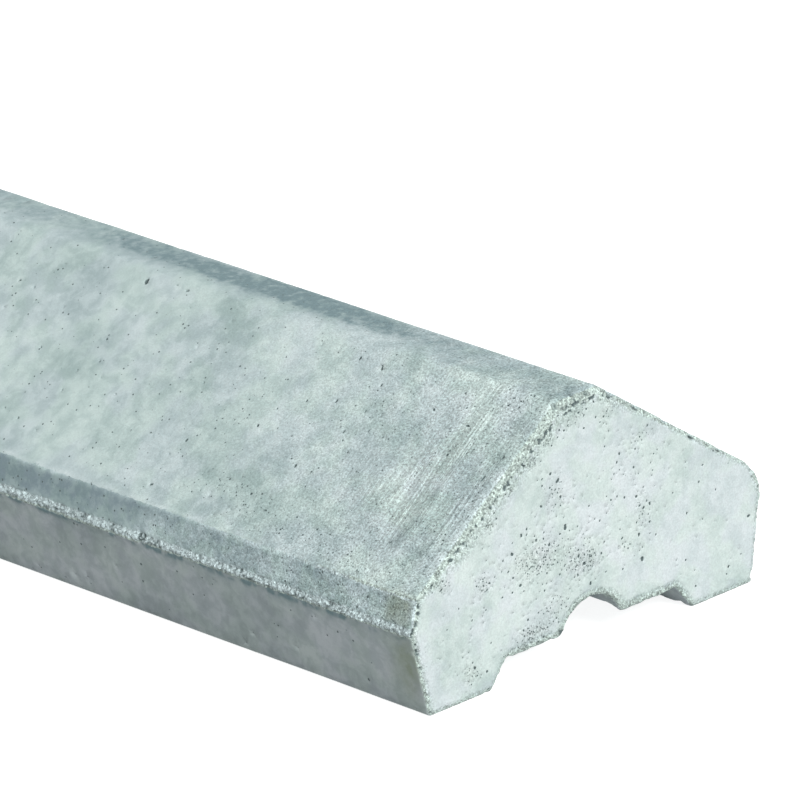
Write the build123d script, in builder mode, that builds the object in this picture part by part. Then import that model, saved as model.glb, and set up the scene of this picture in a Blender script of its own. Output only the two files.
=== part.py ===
# Concrete wall cap: a saddle-backed coping cast in one piece, one metre long.
# It straddles a wall 100 mm thick on two feet, with a half-round groove along the middle of its bed.
#
# X runs along the cap, Y across it and Z up. The origin is at the middle of the underside, level with the feet.
# All sizes are in millimetres and all angles in degrees.

import os
from math import radians, tan

from build123d import *

# Length of one cap, as laid along the wall
LENGTH = 1000.0

# Sides, cast against the mould: they lean outwards as they rise, so that the cap lifts out
BASE_WIDTH = 198.0
SIDE_HEIGHT = 41.0
SIDE_DRAFT = 10.5

# Lip where the screeded top meets the rim of the mould
LIP_HEIGHT = 4.0
LIP_PROUD = 1.1

# Top, struck off above the rim: a steep strip, a slope and a narrow flat along the ridge
STRIP_HEIGHT = 15.5
STRIP_LEAN = 17.0
SLOPE_PITCH = 36.3
RIDGE_FLAT = 25.0

# Underside: two feet that reach down past the top of the wall, and the bed that rests on it
WALL_THICKNESS = 100.0
SEAT_CLEARANCE = 1.0
SEAT_DEPTH = 13.5
SEAT_FLARE = 36.7

# Half-round groove along the middle of the bed
GROOVE_RADIUS = 20.0
GROOVE_DEPTH = 12.5

# Rounded arrises
RIDGE_ROUND = 4.0
SHOULDER_ROUND = 3.0
FOOT_ROUND = 2.5
SEAT_ROUND = 2.0
GROOVE_ROUND = 2.0
END_ROUND = 1.5


def run(rise, angle):
    """Distance travelled sideways over a rise by a face that leans this far from the vertical."""
    return rise * tan(radians(angle))


# Half-widths and levels that follow from the sizes above
foot_half = BASE_WIDTH / 2
rim_half = foot_half + run(SIDE_HEIGHT, SIDE_DRAFT)
shoulder_half = rim_half - run(STRIP_HEIGHT, STRIP_LEAN)
shoulder_level = SIDE_HEIGHT + STRIP_HEIGHT
ridge_half = RIDGE_FLAT / 2
ridge_level = shoulder_level + (shoulder_half - ridge_half) * tan(radians(SLOPE_PITCH))

seat_half = WALL_THICKNESS / 2 + SEAT_CLEARANCE
flare_half = seat_half + run(SEAT_DEPTH, SEAT_FLARE)
groove_centre = SEAT_DEPTH + GROOVE_DEPTH - GROOVE_RADIUS

# The lip bulges between a point on the side and one on the strip, half its height below and above the rim
lip_reach = LIP_HEIGHT / 2
lip_bottom = (rim_half - run(lip_reach, SIDE_DRAFT), SIDE_HEIGHT - lip_reach)
lip_top = (rim_half - run(lip_reach, STRIP_LEAN), SIDE_HEIGHT + lip_reach)

with BuildPart() as wall_cap:
    with BuildSketch(Plane.YZ):
        with BuildLine():
            # Top, from the middle of the ridge down to the lip
            FilletPolyline(
                (0, ridge_level),
                (ridge_half, ridge_level),
                (shoulder_half, shoulder_level),
                lip_top,
                radius=[RIDGE_ROUND, SHOULDER_ROUND],
            )
            SagittaArc(lip_top, lip_bottom, LIP_PROUD)
            # Side, foot and bed, back to the middle
            FilletPolyline(
                lip_bottom,
                (foot_half, 0),
                (flare_half, 0),
                (seat_half, SEAT_DEPTH),
                (0, SEAT_DEPTH),
                radius=[FOOT_ROUND, FOOT_ROUND, SEAT_ROUND],
            )
            mirror(about=Plane.YZ)
        make_face()
        with Locations((0, groove_centre)):
            Circle(GROOVE_RADIUS, mode=Mode.SUBTRACT)
    extrude(amount=LENGTH / 2, both=True)

    # The lips of the groove are the long edges nearest to its centre line, level with the bed
    long_edges = wall_cap.edges().filter_by(Axis.X)
    bed_edges = long_edges.filter_by_position(Axis.Z, SEAT_DEPTH - 0.01, SEAT_DEPTH + 0.01)
    groove_lips = bed_edges.sort_by(lambda edge: abs(edge.center().Y))[:2]
    fillet(groove_lips, GROOVE_ROUND)

    # Both ends are struck square, with their arrises eased all round
    ends = wall_cap.faces().sort_by(Axis.X)
    fillet(ends[0].edges() + ends[-1].edges(), END_ROUND)

wall_cap.part.label = "wall_cap"

os.makedirs("parts", exist_ok=True)
export_step(wall_cap.part, "parts/wall_cap.step")

size = wall_cap.part.bounding_box().size
print(f"wall cap {size.X:.1f} x {size.Y:.1f} x {size.Z:.1f} mm, {wall_cap.part.volume / 1e6:.2f} litres")
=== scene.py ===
# %% [markdown]
# # A concrete wall cap
# The cap is a precast coping: one bar of concrete, a metre long, that sheds rain off the top of a garden wall.
# It was cast in an open mould. So its sides are smooth, its top was struck off and brushed by hand, and its edges
# are crumbly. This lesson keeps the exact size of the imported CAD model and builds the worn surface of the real
# casting in its place.

# %% Load the fixed frame
from math import atan2, cos, pi, radians, sin, tan

import bpy
import numpy as np
from mathutils import Matrix, Vector
from mathutils.geometry import delaunay_2d_cdt


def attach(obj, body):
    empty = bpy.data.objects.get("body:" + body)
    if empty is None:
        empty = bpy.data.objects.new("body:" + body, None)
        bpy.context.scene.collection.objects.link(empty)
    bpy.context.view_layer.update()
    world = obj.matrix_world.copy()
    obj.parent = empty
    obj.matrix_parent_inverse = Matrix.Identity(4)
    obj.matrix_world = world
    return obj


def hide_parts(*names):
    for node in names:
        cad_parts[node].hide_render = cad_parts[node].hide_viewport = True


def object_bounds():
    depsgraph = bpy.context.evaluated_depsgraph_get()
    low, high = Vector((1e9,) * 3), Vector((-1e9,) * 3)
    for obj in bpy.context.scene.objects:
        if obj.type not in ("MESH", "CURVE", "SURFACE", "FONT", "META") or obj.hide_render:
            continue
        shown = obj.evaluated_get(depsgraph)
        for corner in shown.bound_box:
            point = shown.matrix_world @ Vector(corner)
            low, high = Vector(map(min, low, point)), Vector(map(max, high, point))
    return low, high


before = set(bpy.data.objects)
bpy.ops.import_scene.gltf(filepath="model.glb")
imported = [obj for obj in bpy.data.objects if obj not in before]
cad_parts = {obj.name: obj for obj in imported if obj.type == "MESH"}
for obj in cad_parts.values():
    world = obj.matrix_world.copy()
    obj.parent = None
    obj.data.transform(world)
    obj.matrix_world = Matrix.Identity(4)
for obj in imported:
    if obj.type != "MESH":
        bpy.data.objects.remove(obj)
cad_box = [list(corner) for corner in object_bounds()]
print("CAD box in metres:", cad_box)

# %% [markdown]
# ## Camera
# The picture was taken from far away with a long lens, so that the long edges of the cap stay almost parallel.
# A camera can be placed by eye or worked out from edges of known length. Here it was fitted to the section and the
# long edges, and is written as an aim point, a compass bearing, a height angle, a small roll and a distance.

# %% Camera at the viewing angle of the picture
BEARING, HEIGHT_ANGLE, ROLL = radians(49.150), radians(21.261), radians(4.115)
AIM = Vector((0.41683, -0.03149, 0.10874))
DISTANCE = 4.88786
LENS, SENSOR = 495.0, 36.0


def place_camera():
    """Make the camera and turn it towards the near end of the cap."""
    lens = bpy.data.cameras.new("long_lens")
    lens.lens, lens.sensor_width = LENS, SENSOR
    lens.clip_start, lens.clip_end = 0.1, 200.0
    camera = bpy.data.objects.new("camera", lens)
    bpy.context.scene.collection.objects.link(camera)
    level = cos(HEIGHT_ANGLE)
    back = Vector((sin(BEARING) * level, -cos(BEARING) * level, sin(HEIGHT_ANGLE)))
    right = Vector((cos(BEARING), sin(BEARING), 0))
    up = back.cross(right)
    right_rolled = right * cos(ROLL) - up * sin(ROLL)
    up_rolled = up * cos(ROLL) + right * sin(ROLL)
    turned = Matrix((right_rolled, up_rolled, back)).transposed().to_4x4()
    camera.matrix_world = Matrix.Translation(AIM + back * DISTANCE) @ turned
    bpy.context.scene.camera = camera


place_camera()
print("camera stands", round(DISTANCE, 2), "m away")

# %% [markdown]
# ## Section
# Every long edge of the cap follows one section, the shape you see at its end.
# We could read it from the CAD mesh, but its few facets would show, so the same sizes are drawn again, in
# millimetres. Only one half is drawn, from the middle of the ridge down to the crown of the groove; the other half
# is its mirror image.

# %% Corners of half the section
LENGTH = 1000.0
HALF_LENGTH = LENGTH / 2
RIDGE_HALF, RIDGE_LEVEL, RIDGE_ROUND = 12.5, 122.142, 4.0
SHOULDER_HALF, SHOULDER_LEVEL, SHOULDER_ROUND = 101.860, 56.5, 1.6
RIM_HALF, RIM_LEVEL, LIP_REACH, LIP_PROUD = 106.599, 41.0, 2.0, 1.1
STRIP_LEAN, SIDE_DRAFT = radians(17.0), radians(10.5)
FOOT_HALF, FOOT_ROUND = 99.0, 2.5
FLARE_HALF, SEAT_HALF, SEAT_LEVEL, SEAT_ROUND = 61.061, 51.0, 13.5, 2.0
GROOVE_RADIUS, GROOVE_CENTRE, GROOVE_ROUND = 20.0, 6.0, 2.0
GROOVE_STEPS = [1.0, 0.88, 0.75, 0.62, 0.5, 0.38, 0.25, 0.12, 0.0]


def section_corners():
    """Corners of the half section as (y, z, radius), from the ridge to the crown of the groove."""
    top = (RIM_HALF - LIP_REACH * tan(STRIP_LEAN), RIM_LEVEL + LIP_REACH)
    low = (RIM_HALF - LIP_REACH * tan(SIDE_DRAFT), RIM_LEVEL - LIP_REACH)
    # The lip is an arc from top to low, written as a rounded corner where the tangents of its ends meet
    chord = np.hypot(top[0] - low[0], top[1] - low[1])
    lip_radius = (chord**2 / 4 + LIP_PROUD**2) / (2 * LIP_PROUD)
    half_turn = np.arcsin(chord / 2 / lip_radius)
    reach = lip_radius / cos(half_turn) - (lip_radius - LIP_PROUD)
    corners = [
        (0, RIDGE_LEVEL, 0),
        (RIDGE_HALF, RIDGE_LEVEL, RIDGE_ROUND),
        (SHOULDER_HALF, SHOULDER_LEVEL, SHOULDER_ROUND),
        (*top, 0),
        ((top[0] + low[0]) / 2 + reach, RIM_LEVEL, lip_radius),
        (*low, 0),
        (FOOT_HALF, 0, FOOT_ROUND),
        (FLARE_HALF, 0, FOOT_ROUND),
        (SEAT_HALF, SEAT_LEVEL, SEAT_ROUND),
    ]
    half_width = np.sqrt(GROOVE_RADIUS**2 - (SEAT_LEVEL - GROOVE_CENTRE) ** 2)
    lip = np.arcsin(half_width / GROOVE_RADIUS)
    for share in GROOVE_STEPS:
        y, z = GROOVE_RADIUS * sin(lip * share), GROOVE_CENTRE + GROOVE_RADIUS * cos(lip * share)
        corners.append((y, z, GROOVE_ROUND if share == 1.0 else 0))
    return corners


print(len(section_corners()), "corners in half the section")

# %% [markdown]
# ### Rounding the corners
# All edges of a casting are a little round, or it would stick in the mould. A bevel modifier would round them on the
# mesh, but here the section is rounded before there is a mesh, because that also gives an exact normal at each
# point. Places round the section are then given by one number, the girth: 0 on the middle of the ridge, below 0 on
# the side in the picture.

# %% Rounded section and places on it
FACET = 0.4


def rounded_line(corners):
    """Points and outward normals along a line with eased corners, and how far along each corner lies."""
    points, normals, marks = [], [], []
    for i, (y, z, radius) in enumerate(corners):
        here = np.array([y, z])
        before = here - corners[i - 1][:2] if i else np.array(corners[1][:2]) - here
        after = np.array(corners[i + 1][:2]) - here if i + 1 < len(corners) else before
        before, after = before / np.hypot(*before), after / np.hypot(*after)
        turn = atan2(before[0] * after[1] - before[1] * after[0], before @ after)
        steps = max(1, round(abs(turn) * radius / FACET))
        side = -1.0 if turn > 0 else 1.0
        start = here - before * radius * tan(abs(turn) / 2)
        out = np.array([-before[1], before[0]])
        centre = start - side * out * radius
        for k in range(steps + 1):
            c, s = cos(turn * k / steps), sin(turn * k / steps)
            spun = np.array([out[0] * c - out[1] * s, out[0] * s + out[1] * c])
            points.append(centre + side * spun * radius)
            normals.append(spun)
        marks.append(len(points) - 1 - steps // 2)
    points, normals = np.array(points), np.array(normals)
    along = np.concatenate([[0], np.cumsum(np.hypot(*np.diff(points, axis=0).T))])
    return points, normals, along, along[marks]


def on_section(girth):
    """Point (y, z) and outward normal at a distance round the section; negative is the side in the picture."""
    far, side = np.abs(girth), np.where(girth < 0, -1.0, 1.0)
    y, z = np.interp(far, along, outline[:, 0]) * side, np.interp(far, along, outline[:, 1])
    ny, nz = np.interp(far, along, outward[:, 0]) * side, np.interp(far, along, outward[:, 1])
    size = np.hypot(ny, nz)
    return y, z, ny / size, nz / size


outline, outward, along, marks = rounded_line(section_corners())
HALF_GIRTH = along[-1]
AT_RIDGE, AT_SHOULDER, AT_LIP, AT_FOOT, AT_FLARE, AT_SEAT, AT_GROOVE = marks[[1, 2, 4, 6, 7, 8, 9]]
print("half the section is", round(HALF_GIRTH, 1), "mm round, with the lip at", round(AT_LIP, 1), "mm")

# %% [markdown]
# ## Noise
# Concrete is never even: the mould was a little wavy, the brush left ripples, and sand grains broke out of the edges.
# Blender has noise textures for shaders, but the mesh itself needs noise too, so that pits and crumbs are real
# shapes. Value noise gives every corner of an invisible grid a fixed number and blends between them.

# %% Noise that is the same on every run
def grid_numbers(cell, seed):
    """A number from 0 to 1 for each grid cell, always the same for the same cell and seed."""
    x, y, z = (cell[..., i].astype(np.int64).astype(np.uint32) for i in range(3))
    # Multiplying by large odd numbers and folding the high bits down stirs the number until no pattern is left
    mixed = x * np.uint32(374761393) + y * np.uint32(668265263) + z * np.uint32(2246822519) + np.uint32(seed * 974634)
    mixed = (mixed ^ (mixed >> np.uint32(13))) * np.uint32(1274126177)
    mixed = (mixed ^ (mixed >> np.uint32(15))) * np.uint32(2654435761)
    return ((mixed ^ (mixed >> np.uint32(16))) & np.uint32(0xFFFFFF)) / float(0x1000000)


def soft_noise(points, size, seed):
    """Smooth noise from 0 to 1 whose bumps are about size millimetres across; size may differ by axis."""
    place = points / np.array(size)
    cell = np.floor(place)
    blend = place - cell
    blend = blend * blend * (3 - 2 * blend)
    total = 0
    for corner in np.ndindex(2, 2, 2):
        weight = np.prod(np.where(np.array(corner) == 1, blend, 1 - blend), axis=-1)
        total = total + weight * grid_numbers(cell + corner, seed)
    return total


print("soft noise at one point:", np.round(soft_noise(np.array([[1.0, 2.0, 3.0]]), 10.0, 1), 3))

# %% [markdown]
# ### Layers, grains and soft steps
# Real surfaces are rough at several sizes at once, so layered noise adds finer copies of the soft noise to it. Cell
# noise is the distance to the nearest of many scattered points, which looks like packed grains. A soft step turns
# such a number into a mask with a blurred border.

# %% Layers, grains and soft steps
def layered_noise(points, size, seed, layers=3):
    """Several soft noises, each half as large and half as strong as the one before."""
    apart = 31.7
    total, strength = 0, 0
    for k in range(layers):
        total = total + soft_noise(points + apart * k, np.array(size) / 2**k, seed + k) / 2**k
        strength += 1 / 2**k
    return total / strength


def grain_noise(points, size, seed):
    """Distance to the nearest scattered point, about 0 at the heart of a grain and 1 between grains."""
    place = points / size
    cell = np.floor(place)
    nearest = np.full(len(points), 9.0)
    for step in np.ndindex(3, 3, 3):
        near = cell + np.array(step) - 1
        heart = near + np.stack([grid_numbers(near, seed + k) for k in range(3)], -1)
        nearest = np.minimum(nearest, np.sum((place - heart) ** 2, axis=-1))
    return np.clip(np.sqrt(nearest), 0, 1)


def fade(value, low, high):
    """0 below low, 1 above high, and a soft step between."""
    share = np.clip((value - low) / (high - low), 0, 1)
    return share * share * (3 - 2 * share)


print("halfway up a soft step:", fade(0.5, 0, 1))

# %% [markdown]
# ## Worn ends
# The edges round both ends are not sharp: they crumbled when the mould came off, most of all along the top.
# A bevel modifier has one width for all edges. Here the wear is wide on the end face, narrow on the long faces,
# and different on each side, so the corner is an ellipse whose two radii change round the section.

# %% How far each end is worn
GIRTH_STOPS = [
    -HALF_GIRTH, -AT_GROOVE, -AT_FOOT, -AT_FOOT + 8, -AT_LIP - 4, -AT_SHOULDER, -AT_SHOULDER + 10, -AT_RIDGE - 14,
    -AT_RIDGE, AT_RIDGE, AT_RIDGE + 12, AT_SHOULDER - 10, AT_SHOULDER, AT_LIP, AT_FOOT - 9, AT_FOOT, HALF_GIRTH,
]
NEAR_ALONG = [1.3, 1.2, 2.0, 1.4, 1.6, 3.2, 3.8, 3.8, 4.4, 3.6, 2.0, 1.6, 1.6, 1.2, 1.2, 1.4, 1.3]
NEAR_ACROSS = [1.5, 1.4, 2.2, 1.8, 2.0, 3.0, 4.4, 5.4, 5.6, 4.0, 2.6, 2.0, 1.8, 1.4, 1.6, 2.0, 1.5]
FAR_ALONG = [2.0, 2.0, 2.4, 2.2, 2.2, 2.6, 2.6, 2.6, 3.4, 3.4, 2.6, 2.4, 2.4, 2.2, 2.2, 2.4, 2.0]
FAR_ACROSS = [2.2, 2.2, 2.6, 2.4, 2.4, 3.6, 4.2, 4.0, 4.6, 4.6, 3.8, 3.6, 3.2, 2.4, 2.6, 2.6, 2.2]
SMALLEST_WEAR = 1.0
# A corner is shared out at its middle: the long face ends and the end face begins where it leans by 45 degrees
CUT = 1 - 1 / np.sqrt(2)
# Points stay this share of a radius from the edge, where the normal would have no direction
LAST_SHARE = 0.99


def worn_radii(girth, end):
    """Radii of the worn corner at the near end (1) or the far end (-1): along the cap and across its end."""
    y, z, _, _ = on_section(girth)
    place = np.stack([np.full(len(girth), 700.0 * end), y, z], -1)
    uneven = 0.82 + 0.36 * layered_noise(place, 5.0, 40)
    stops = (NEAR_ALONG, NEAR_ACROSS) if end > 0 else (FAR_ALONG, FAR_ACROSS)
    return [np.maximum(SMALLEST_WEAR, np.interp(girth, GIRTH_STOPS, s) * uneven) for s in stops]


print("near corner is worn", min(NEAR_ACROSS), "to", max(NEAR_ACROSS), "mm wide")

# %% [markdown]
# ### Long faces that bend into the ends
# A point on a long face near an end sinks along its normal, as the ellipse of the worn corner says. Moving points by
# a formula keeps every edge exact, while a cut with a Boolean would leave slivers along each curved corner.

# %% Points and normals on the long faces
def on_long_face(girth, x):
    """Points and normals on the long faces, bent inwards where they meet the worn ends."""
    points, normals = np.zeros((len(girth), 3)), np.zeros((len(girth), 3))
    y, z, ny, nz = on_section(girth)
    for end in (1, -1):
        here = np.sign(x + 1e-9) == end
        along_radius, across_radius = worn_radii(girth, end)
        share = np.clip((along_radius - (HALF_LENGTH - np.abs(x))) / along_radius, 0, LAST_SHARE)
        rest = np.sqrt(1 - share**2)
        inward = across_radius * (1 - rest)
        point = np.stack([x, y - inward * ny, z - inward * nz], -1)
        lean, out = end * share / along_radius, rest / across_radius
        normal = np.stack([lean, out * ny, out * nz], -1)
        points[here], normals[here] = point[here], normal[here]
    return points, normals / np.linalg.norm(normals, axis=1, keepdims=True)


ridge_point, _ = on_long_face(np.array([0.0]), np.array([HALF_LENGTH - 1.0]))
print("one millimetre from the end the ridge is", round(RIDGE_LEVEL - ridge_point[0, 2], 2), "mm lower")

# %% [markdown]
# ### End faces that bend back
# On an end face the wear depends on how far a point lies from the nearest edge of the section. That distance is
# found with a dense trace of the section: slow for single points, but quick when numpy takes thousands at once.

# %% Points and normals on the end faces
TRACE_POINTS, BATCH = 1600, 2000
trace_girth = np.linspace(-HALF_GIRTH, HALF_GIRTH, TRACE_POINTS)
trace = np.stack(on_section(trace_girth), -1)


def nearest_on_section(y, z):
    """How deep points of an end face lie inside the section, and where round it the nearest edge is."""
    depth, where = np.zeros(len(y)), np.zeros(len(y), int)
    for start in range(0, len(y), BATCH):
        part = slice(start, start + BATCH)
        gap = (y[part, None] - trace[:, 0]) ** 2 + (z[part, None] - trace[:, 1]) ** 2
        where[part] = gap.argmin(1)
        depth[part] = np.sqrt(gap.min(1))
    return depth, where


def on_end_face(y, z, end):
    """Points and normals on an end face, bent back where it meets the worn corner."""
    depth, where = nearest_on_section(y, z)
    along_radius, across_radius = worn_radii(trace_girth[where], end)
    share = np.clip((across_radius - depth) / across_radius, 0, LAST_SHARE)
    rest = np.sqrt(1 - share**2)
    points = np.stack([end * (HALF_LENGTH - along_radius * (1 - rest)), y, z], -1)
    out = share / across_radius
    normals = np.stack([end * rest / along_radius, out * trace[where, 2], out * trace[where, 3]], -1)
    return points, normals / np.linalg.norm(normals, axis=1, keepdims=True), depth, trace_girth[where]


print("the section is traced with", TRACE_POINTS, "points")

# %% [markdown]
# ## Pores
# Air bubbles against the mould and under the brush leave small round holes, which masons call bug holes.
# Bump in a shader can fake them, but a real hole has a real shadow and also shows in the exported mesh.
# The ones that stand out in the picture are written down one by one. Smaller ones crowd in swarms, or stand in rows
# along scratches and creases, and for those only the place, the spread and the number are written.

# %% Pores placed one by one
# On the brushed slope: distance from the near end, distance down from the ridge, radius, stretch, turn
SLOPE_PORES = [
    (45.5, 16.3, 0.63, 1.0, 0), (99.5, 18.9, 0.72, 1.4, 0.2), (105.8, 10.8, 0.64, 3.0, -0.5),
    (121.3, 9.8, 0.96, 1.2, 0), (117.5, 33.3, 0.8, 1.5, 0.3), (89.0, 41.9, 0.56, 1.6, 0), (102.0, 46.1, 0.56, 2.6, 0),
    (10.8, 45.8, 0.81, 2.0, 0.2), (92.3, 54.8, 0.56, 1.2, 0), (115.0, 69.2, 0.88, 1.2, 0.2),
    (88.0, 33.1, 0.4, 2.4, 0), (98.0, 33.2, 0.48, 2.8, 0), (8.0, 33.2, 0.63, 1.8, 0), (269.0, 7.3, 1.44, 1.3, 0.2),
    (281.0, -9.3, 1.17, 1.8, 0.5), (268.3, 40.7, 0.81, 1.2, 0), (241.0, 65.0, 0.56, 1.5, 0.3),
    (272.0, 60.0, 0.63, 1.2, 0), (263.3, 52.3, 0.63, 1.8, 0.4), (272.7, 71.7, 0.63, 1.5, 0),
    (286.0, 91.7, 0.72, 1.3, 0), (196.7, 45.7, 0.64, 1.2, 0), (146.7, 46.0, 0.64, 1.1, 0), (150.7, 56.7, 0.8, 1.2, 0),
    (133.7, 37.7, 0.72, 1.2, 0), (37.5, 45.7, 0.45, 2.0, 0), (109.0, 75.0, 0.4, 2.2, 0.1),
    (170.0, 32.0, 0.48, 1.3, 0), (214.0, 30.0, 0.4, 1.4, 0.3), (302.0, 55.0, 0.72, 1.3, 0),
    (330.0, 28.0, 0.72, 1.2, 0.2), (188.0, 84.0, 0.48, 1.5, 0),
]

# Swarms on that slope: distance from the end, distance down, spreads of both and how many
SLOPE_SWARMS = [
    (20, 6, 6, 4, 26), (30, -4, 10, 3, 14), (8, 55, 3, 26, 20), (112, 97, 14, 5, 22), (148, 90, 14, 6, 16),
]

# On the near end face: y, z and radius
END_PORES = [
    (-15.0, 85.5, 1.1), (2.5, 105.0, 0.6), (-19.0, 90.0, 0.8), (-14.0, 77.5, 0.7), (-25.8, 76.7, 0.7),
    (-38.5, 67.0, 0.8), (-35.5, 66.3, 0.6), (-44.7, 60.0, 0.9), (-12.3, 62.5, 1.2), (31.0, 63.3, 0.8),
    (33.7, 63.0, 0.9), (35.0, 56.7, 0.8), (38.8, 57.5, 0.8), (38.0, 49.0, 0.7), (31.2, 45.0, 0.9), (32.2, 33.0, 1.1),
    (22.0, 42.0, 0.5), (25.4, 42.3, 0.5), (53.0, 58.0, 0.5), (43.0, 80.0, 0.5), (45.3, 81.2, 0.5), (8.3, 59.0, 0.6),
    (8.0, 43.5, 0.7), (-2.5, 42.0, 0.9), (58.3, 24.0, 0.6), (-22.5, 57.5, 0.8), (-30.0, 62.0, 0.7),
    (-41.0, 44.0, 0.8), (-5.5, 46.5, 0.8), (0.5, 31.5, 0.9), (22.5, 86.5, 0.7), (15.8, 66.5, 0.6), (19.5, 67.0, 0.6),
    (98.0, 32.5, 0.8), (-27.0, 37.0, 0.6), (97.0, 33.0, 0.5), (84.0, 12.5, 0.7), (92.0, 16.0, 0.5),
    (-71.0, 14.5, 0.8), (-64.0, 10.5, 0.7), (-60.5, 23.0, 0.5), (-41.0, 22.5, 0.6), (18.5, 78.0, 0.5),
    (62.0, 70.0, 0.4), (-78.0, 45.0, 0.5), (70.0, 40.0, 0.4),
]

# Swarms on the near end face: y, z, spread across, spread up and how many
END_SWARMS = [
    (-28, 53, 15, 8, 190), (-4, 44, 9, 6, 110), (-17, 80, 7, 8, 44), (-63, 51, 3.5, 4, 30), (-74, 12, 4, 4, 34),
    (-34, 19, 10, 4, 70), (-22, 29, 8, 5, 40), (34, 55, 6, 8, 34), (24, 42, 9, 6, 20), (-86, 58, 3, 2, 18),
    (-58, 76, 14, 7, 18), (60, 55, 24, 18, 24), (20, 76, 18, 12, 34), (-88, 28, 8, 12, 12),
    (-56.7, 78.2, 1.6, 1.4, 12), (-43.3, 90.7, 1.5, 1.4, 12), (-91, 61, 3, 1.5, 10), (-30, 99, 3, 2.5, 16),
    (-3, 112, 5, 3, 26), (16, 108, 5, 3, 14), (40, 92, 6, 3, 14), (-20, 106, 4, 3, 18),
]

# Rows on the near end face: y and z of both ends, and how many
END_TRAILS = [
    (38.6, 92.8, 17.0, 75.7, 34), (40.0, 94.0, 26.0, 86.0, 10), (-62.7, 41.4, -64.6, 33.9, 9),
    (-67.9, 50.7, -76.8, 10.7, 16), (18.0, 66.0, 12.0, 60.0, 10), (-37.0, 66.0, -34.0, 68.5, 5),
]
print(len(SLOPE_PORES) + len(END_PORES), "single pores,", len(SLOPE_SWARMS) + len(END_SWARMS), "swarms")

# %% [markdown]
# ### From lists to a table
# A swarm is a number of pores scattered round a middle, thickest there and thinner outwards. A fixed seed gives the
# same pores on each run. A random number raised to a power makes most of them small and a few large, as in real
# concrete.

# %% Table of the listed pores
rng = np.random.default_rng(12)
# Pores keep this far from the ends of the long faces
END_MARGIN = 8.0


def pore(face, a, b, smallest, growth, power, stretch):
    """One random pore: its face, its place, and a radius, stretch and turn by chance."""
    radius = smallest + growth * rng.random() ** power
    return (face, a, b, radius, 1.0 + stretch * rng.random(), rng.random() * pi)


def placed_pores():
    """The pores, swarms and rows that are written down above."""
    rows = [(0, -(AT_RIDGE + down), HALF_LENGTH - u, r, k, turn + pi / 2) for u, down, r, k, turn in SLOPE_PORES]
    for u, down, wide, high, count in SLOPE_SWARMS:
        for a, b in rng.normal((u, down), (wide, high), (count, 2)):
            x = min(HALF_LENGTH - END_MARGIN, HALF_LENGTH - a)
            radius = 0.3 + 0.35 * rng.random() ** 2
            rows.append((0, -(AT_RIDGE + b), x, radius, 1.0 + 0.6 * rng.random(), 0.0))
    rows += [(1, y, z, r, 1.0 + 0.3 * rng.random(), rng.random() * pi) for y, z, r in END_PORES]
    for y, z, wide, high, count in END_SWARMS:
        spots_of_swarm = rng.normal((y, z), (wide, high), (count, 2))
        rows += [pore(1, a, b, 0.24, 0.4, 3, 0.4) for a, b in spots_of_swarm]
    for y1, z1, y2, z2, count in END_TRAILS:
        for share in rng.random(count):
            a, b = rng.normal((y1 + (y2 - y1) * share, z1 + (z2 - z1) * share), 0.5)
            rows.append(pore(1, a, b, 0.22, 0.25, 2, 0.5))
    return rows


listed = placed_pores()
print(len(listed), "pores where the picture shows them")

# %% [markdown]
# ### Pores by chance
# The faces that the picture doesn't show get random pores of the same kinds, and the slope and the end that it shows
# get a few more small ones. They keep clear of the rounded edges, where their rings of points would tangle.

# %% Pores by chance
# How far they keep, on each long side, from the ridge, the shoulder, the lip, both sides of the foot and the groove
OFF_RIDGE, OFF_SHOULDER, BELOW_LIP, ABOVE_FOOT, BEYOND_FOOT, OFF_GROOVE = 2, 3, 5, 3, 4, 2


def scattered(count, low, high):
    """Random spots in a rectangle."""
    return rng.uniform(low, high, (count, 2))


def random_pores():
    """Pores by chance: on both end faces, and on the slopes, sides and underside."""
    rows, reach = [], HALF_LENGTH - END_MARGIN
    for end, count in ((1, 60), (-1, 260)):
        rows += [pore(end, a, b, 0.28, 0.7, 4, 0.4) for a, b in scattered(count, (-104, 2), (104, 118))]
    for side, count in ((-1, 90), (1, 150)):
        for girth, x in scattered(count, (OFF_RIDGE, -reach), (AT_SHOULDER - OFF_SHOULDER, reach)):
            radius = 0.3 + 0.7 * rng.random() ** 3
            rows.append((0, side * girth, x, radius, 1.0 + 0.8 * rng.random(), rng.normal(0, 0.4)))
        for girth, x in scattered(60, (AT_LIP + BELOW_LIP, -reach), (AT_FOOT - ABOVE_FOOT, reach)):
            rows.append(pore(0, side * girth, x, 0.3, 0.5, 2, 0.3))
        for girth, x in scattered(110, (AT_FOOT + BEYOND_FOOT, -reach), (AT_GROOVE - OFF_GROOVE, reach)):
            rows.append(pore(0, side * girth, x, 0.5, 1.1, 2, 0.4))
    return rows


# Rows of face (0 long faces, 1 near end, -1 far end), place (2), radius, stretch and turn
pores = np.array(listed + random_pores())
print(len(pores), "pores, the widest", round(2 * pores[:, 3].max(), 1), "mm across")

# %% [markdown]
# ## Points
# The mesh is made from points that are dense where the shape is rough and sparse where it is flat, then joined into
# triangles. Grids of one spacing are simple, but here the edges need points every 0.6 mm and the flats only every
# 5 mm. So a point of the finest grid is kept only if it also lies on the coarser grid that its surroundings ask for.

# %% Spread points as the shape asks
FINEST = 0.62
COARSEST_STEP = 4
JITTER = 0.55


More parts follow.
